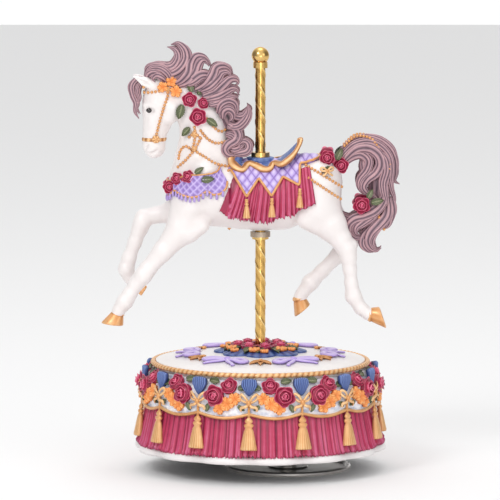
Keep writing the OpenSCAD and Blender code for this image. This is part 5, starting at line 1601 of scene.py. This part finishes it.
def on_top(turn, r, lift=0.0, spin=0.0):
    """A frame on the dome with +Y away from the pole."""
    out = base_point(turn, 1, 0) - base_point(turn, 0, 0)
    normal = np.array((0, 0, 1)) + out * r / DOME_SPHERE
    return frame_at(base_point(turn, r, dome_height(r)) + np.array((0, 0, lift)), normal, up=out, spin=spin)


MOTIF_R = 38.0  # radius of the ring of ribbons and gold motifs


def add_top():
    # the drape: a blue ruffled collar that lies in leaf-like folds
    drape = Clay()
    r, a = np.meshgrid(np.linspace(0, 1, 16), ring_angles(240), indexing="ij")
    lobes = np.abs(np.cos(4 * a))
    fold = np.abs(np.sin(16 * a))
    edge = 23 + 4 * lobes
    radius = 9 + (edge - 9) * r
    high = dome_height(radius) - TOP_Z + 2.4 * np.sin(math.pi * (0.3 + 0.62 * r)) + 0.7 * fold * r * (1 - 0.5 * r)
    outer = np.stack([radius * np.cos(a), radius * np.sin(a), high], axis=2)
    # relief: painted highlights on the folds and towards the edge, painted shade near the middle
    points, faces, relief = polar_solid(outer, -2.0, 0.12 + 0.55 * fold * r + 0.2 * r)
    drape.add(points + (POLE_X, 0, TOP_Z), faces, relief)
    drape.build("navy_drape", NAVY, "top_drape")

    ribbons, fleurs = Clay(), Clay()
    for i in range(6):
        turn = 30 + 60 * i
        for side in (-1, 1):
            loop = smooth_path([(0, 0, 0.6), (side * 5, 1.6, 1.2), (side * 11, 5.2, 1.3), (side * 13.4, 2, 1),
                                (side * 10, -1.6, 1.0), (side * 4, -1, 1.1), (0, 0, 0.6)], 8)
            ribbons.add_placed(sweep(loop, lambda k, t: ribbon_ring(1.9), up=(0, 0, 1)),
                               on_top(turn, MOTIF_R))
            tail = smooth_path([(0, 0, 0.8), (side * 3, 4.6, 0.9), (side * 8, 8.4, 0.6),
                                (side * 9.6, 11, 0.4)], 6)
            ribbons.add_placed(sweep(tail, lambda k, t: ribbon_ring(1.5 - 0.4 * t), up=(0, 0, 1)),
                               on_top(turn, MOTIF_R))
        ribbons.add_placed(flat_ball(2.4, 8, 14, (1, 1, 0.7), 1), on_top(turn, MOTIF_R))
        for spread in (-44, 0, 44):
            fleurs.add_placed(leaf(9, 3.6, 0.06), on_top(60 * i, MOTIF_R, 0.1, spread))
        fleurs.add_placed(flat_ball(1.7, 7, 12, (1, 1, 0.6)), on_top(60 * i, MOTIF_R, 0.9))
    ribbons.build("lavender_ribbons", LAVENDER, "top_ribbons")
    fleurs.build("gold_fleurs", GOLD, "top_fleurs")

    roses, blossoms, leaves = Clay(), Clay(), Clay()
    for i in range(7):
        roses.add_placed(rose(4.8, 300 + i), on_top(15 + i * 360 / 7, 11 + 2 * (i % 2), 2.6))
        blossoms.add_placed(blossom(3.5, 320 + i), on_top(40 + i * 360 / 7, 18.6, 2.6))
        blossoms.add_placed(blossom(2.6, 340 + i), on_top(58 + i * 360 / 7, 21, 2.4))
    for i in range(14):
        leaves.add_placed(leaf(8, 4.4), on_top(i * 360 / 14 + 2, 15, 2.6, 20 * (i % 3 - 1)))
    roses.build("roses_on_top", ROSE, "top_roses")
    blossoms.build("blossoms_on_top", ORANGE, "top_blossoms")
    leaves.build("leaves_on_top", LEAF, "top_leaves")


# ---------------------------------------------------------------- the pole

HELIX_PITCH = 27.0


def add_pole():
    """The brass pole with two thin ridges that wind up it."""
    low, high = box_mm("pole")
    heights = np.arange(low[2], high[2], 0.9).tolist() + [high[2]]
    angle = ring_angles(72)

    def section(i, t):
        turn = angle + heights[i] * TAU / HELIX_PITCH
        ridge = np.exp(-((np.abs(((turn / math.pi) % 1) - 0.5) * 2 - 1) / 0.1) ** 2)
        flute = np.abs(np.cos(turn * 2 + 0.8)) ** 0.5
        r = POLE_R * (0.9 + 0.012 * flute + 0.085 * ridge)
        # relief: painted highlights on the ridges, painted shade in the flutes
        return r * np.cos(angle), r * np.sin(angle), 0.46 + 0.4 * ridge - 0.25 * (1 - flute)

    path = np.array([(POLE_X, 0, z) for z in heights])
    clay = Clay()
    clay.add(*sweep(path, section, up=(0, -1, 0)))
    clay.build("twisted_pole", POLE_BRASS, "pole")


add_hooves()
add_hair("horse_mane", "mane", MANE_LOCKS, 3, MANE_CREST)
add_hair("horse_tail", "tail", TAIL_LOCKS, 4, TAIL_CREST)
add_harness()
add_chains()
add_skirt_tassels()
add_eyes()
add_horse_flowers()
add_valance()
add_curtain()
add_hem()
add_rope()
add_base_ornaments()
add_top()
add_pole()
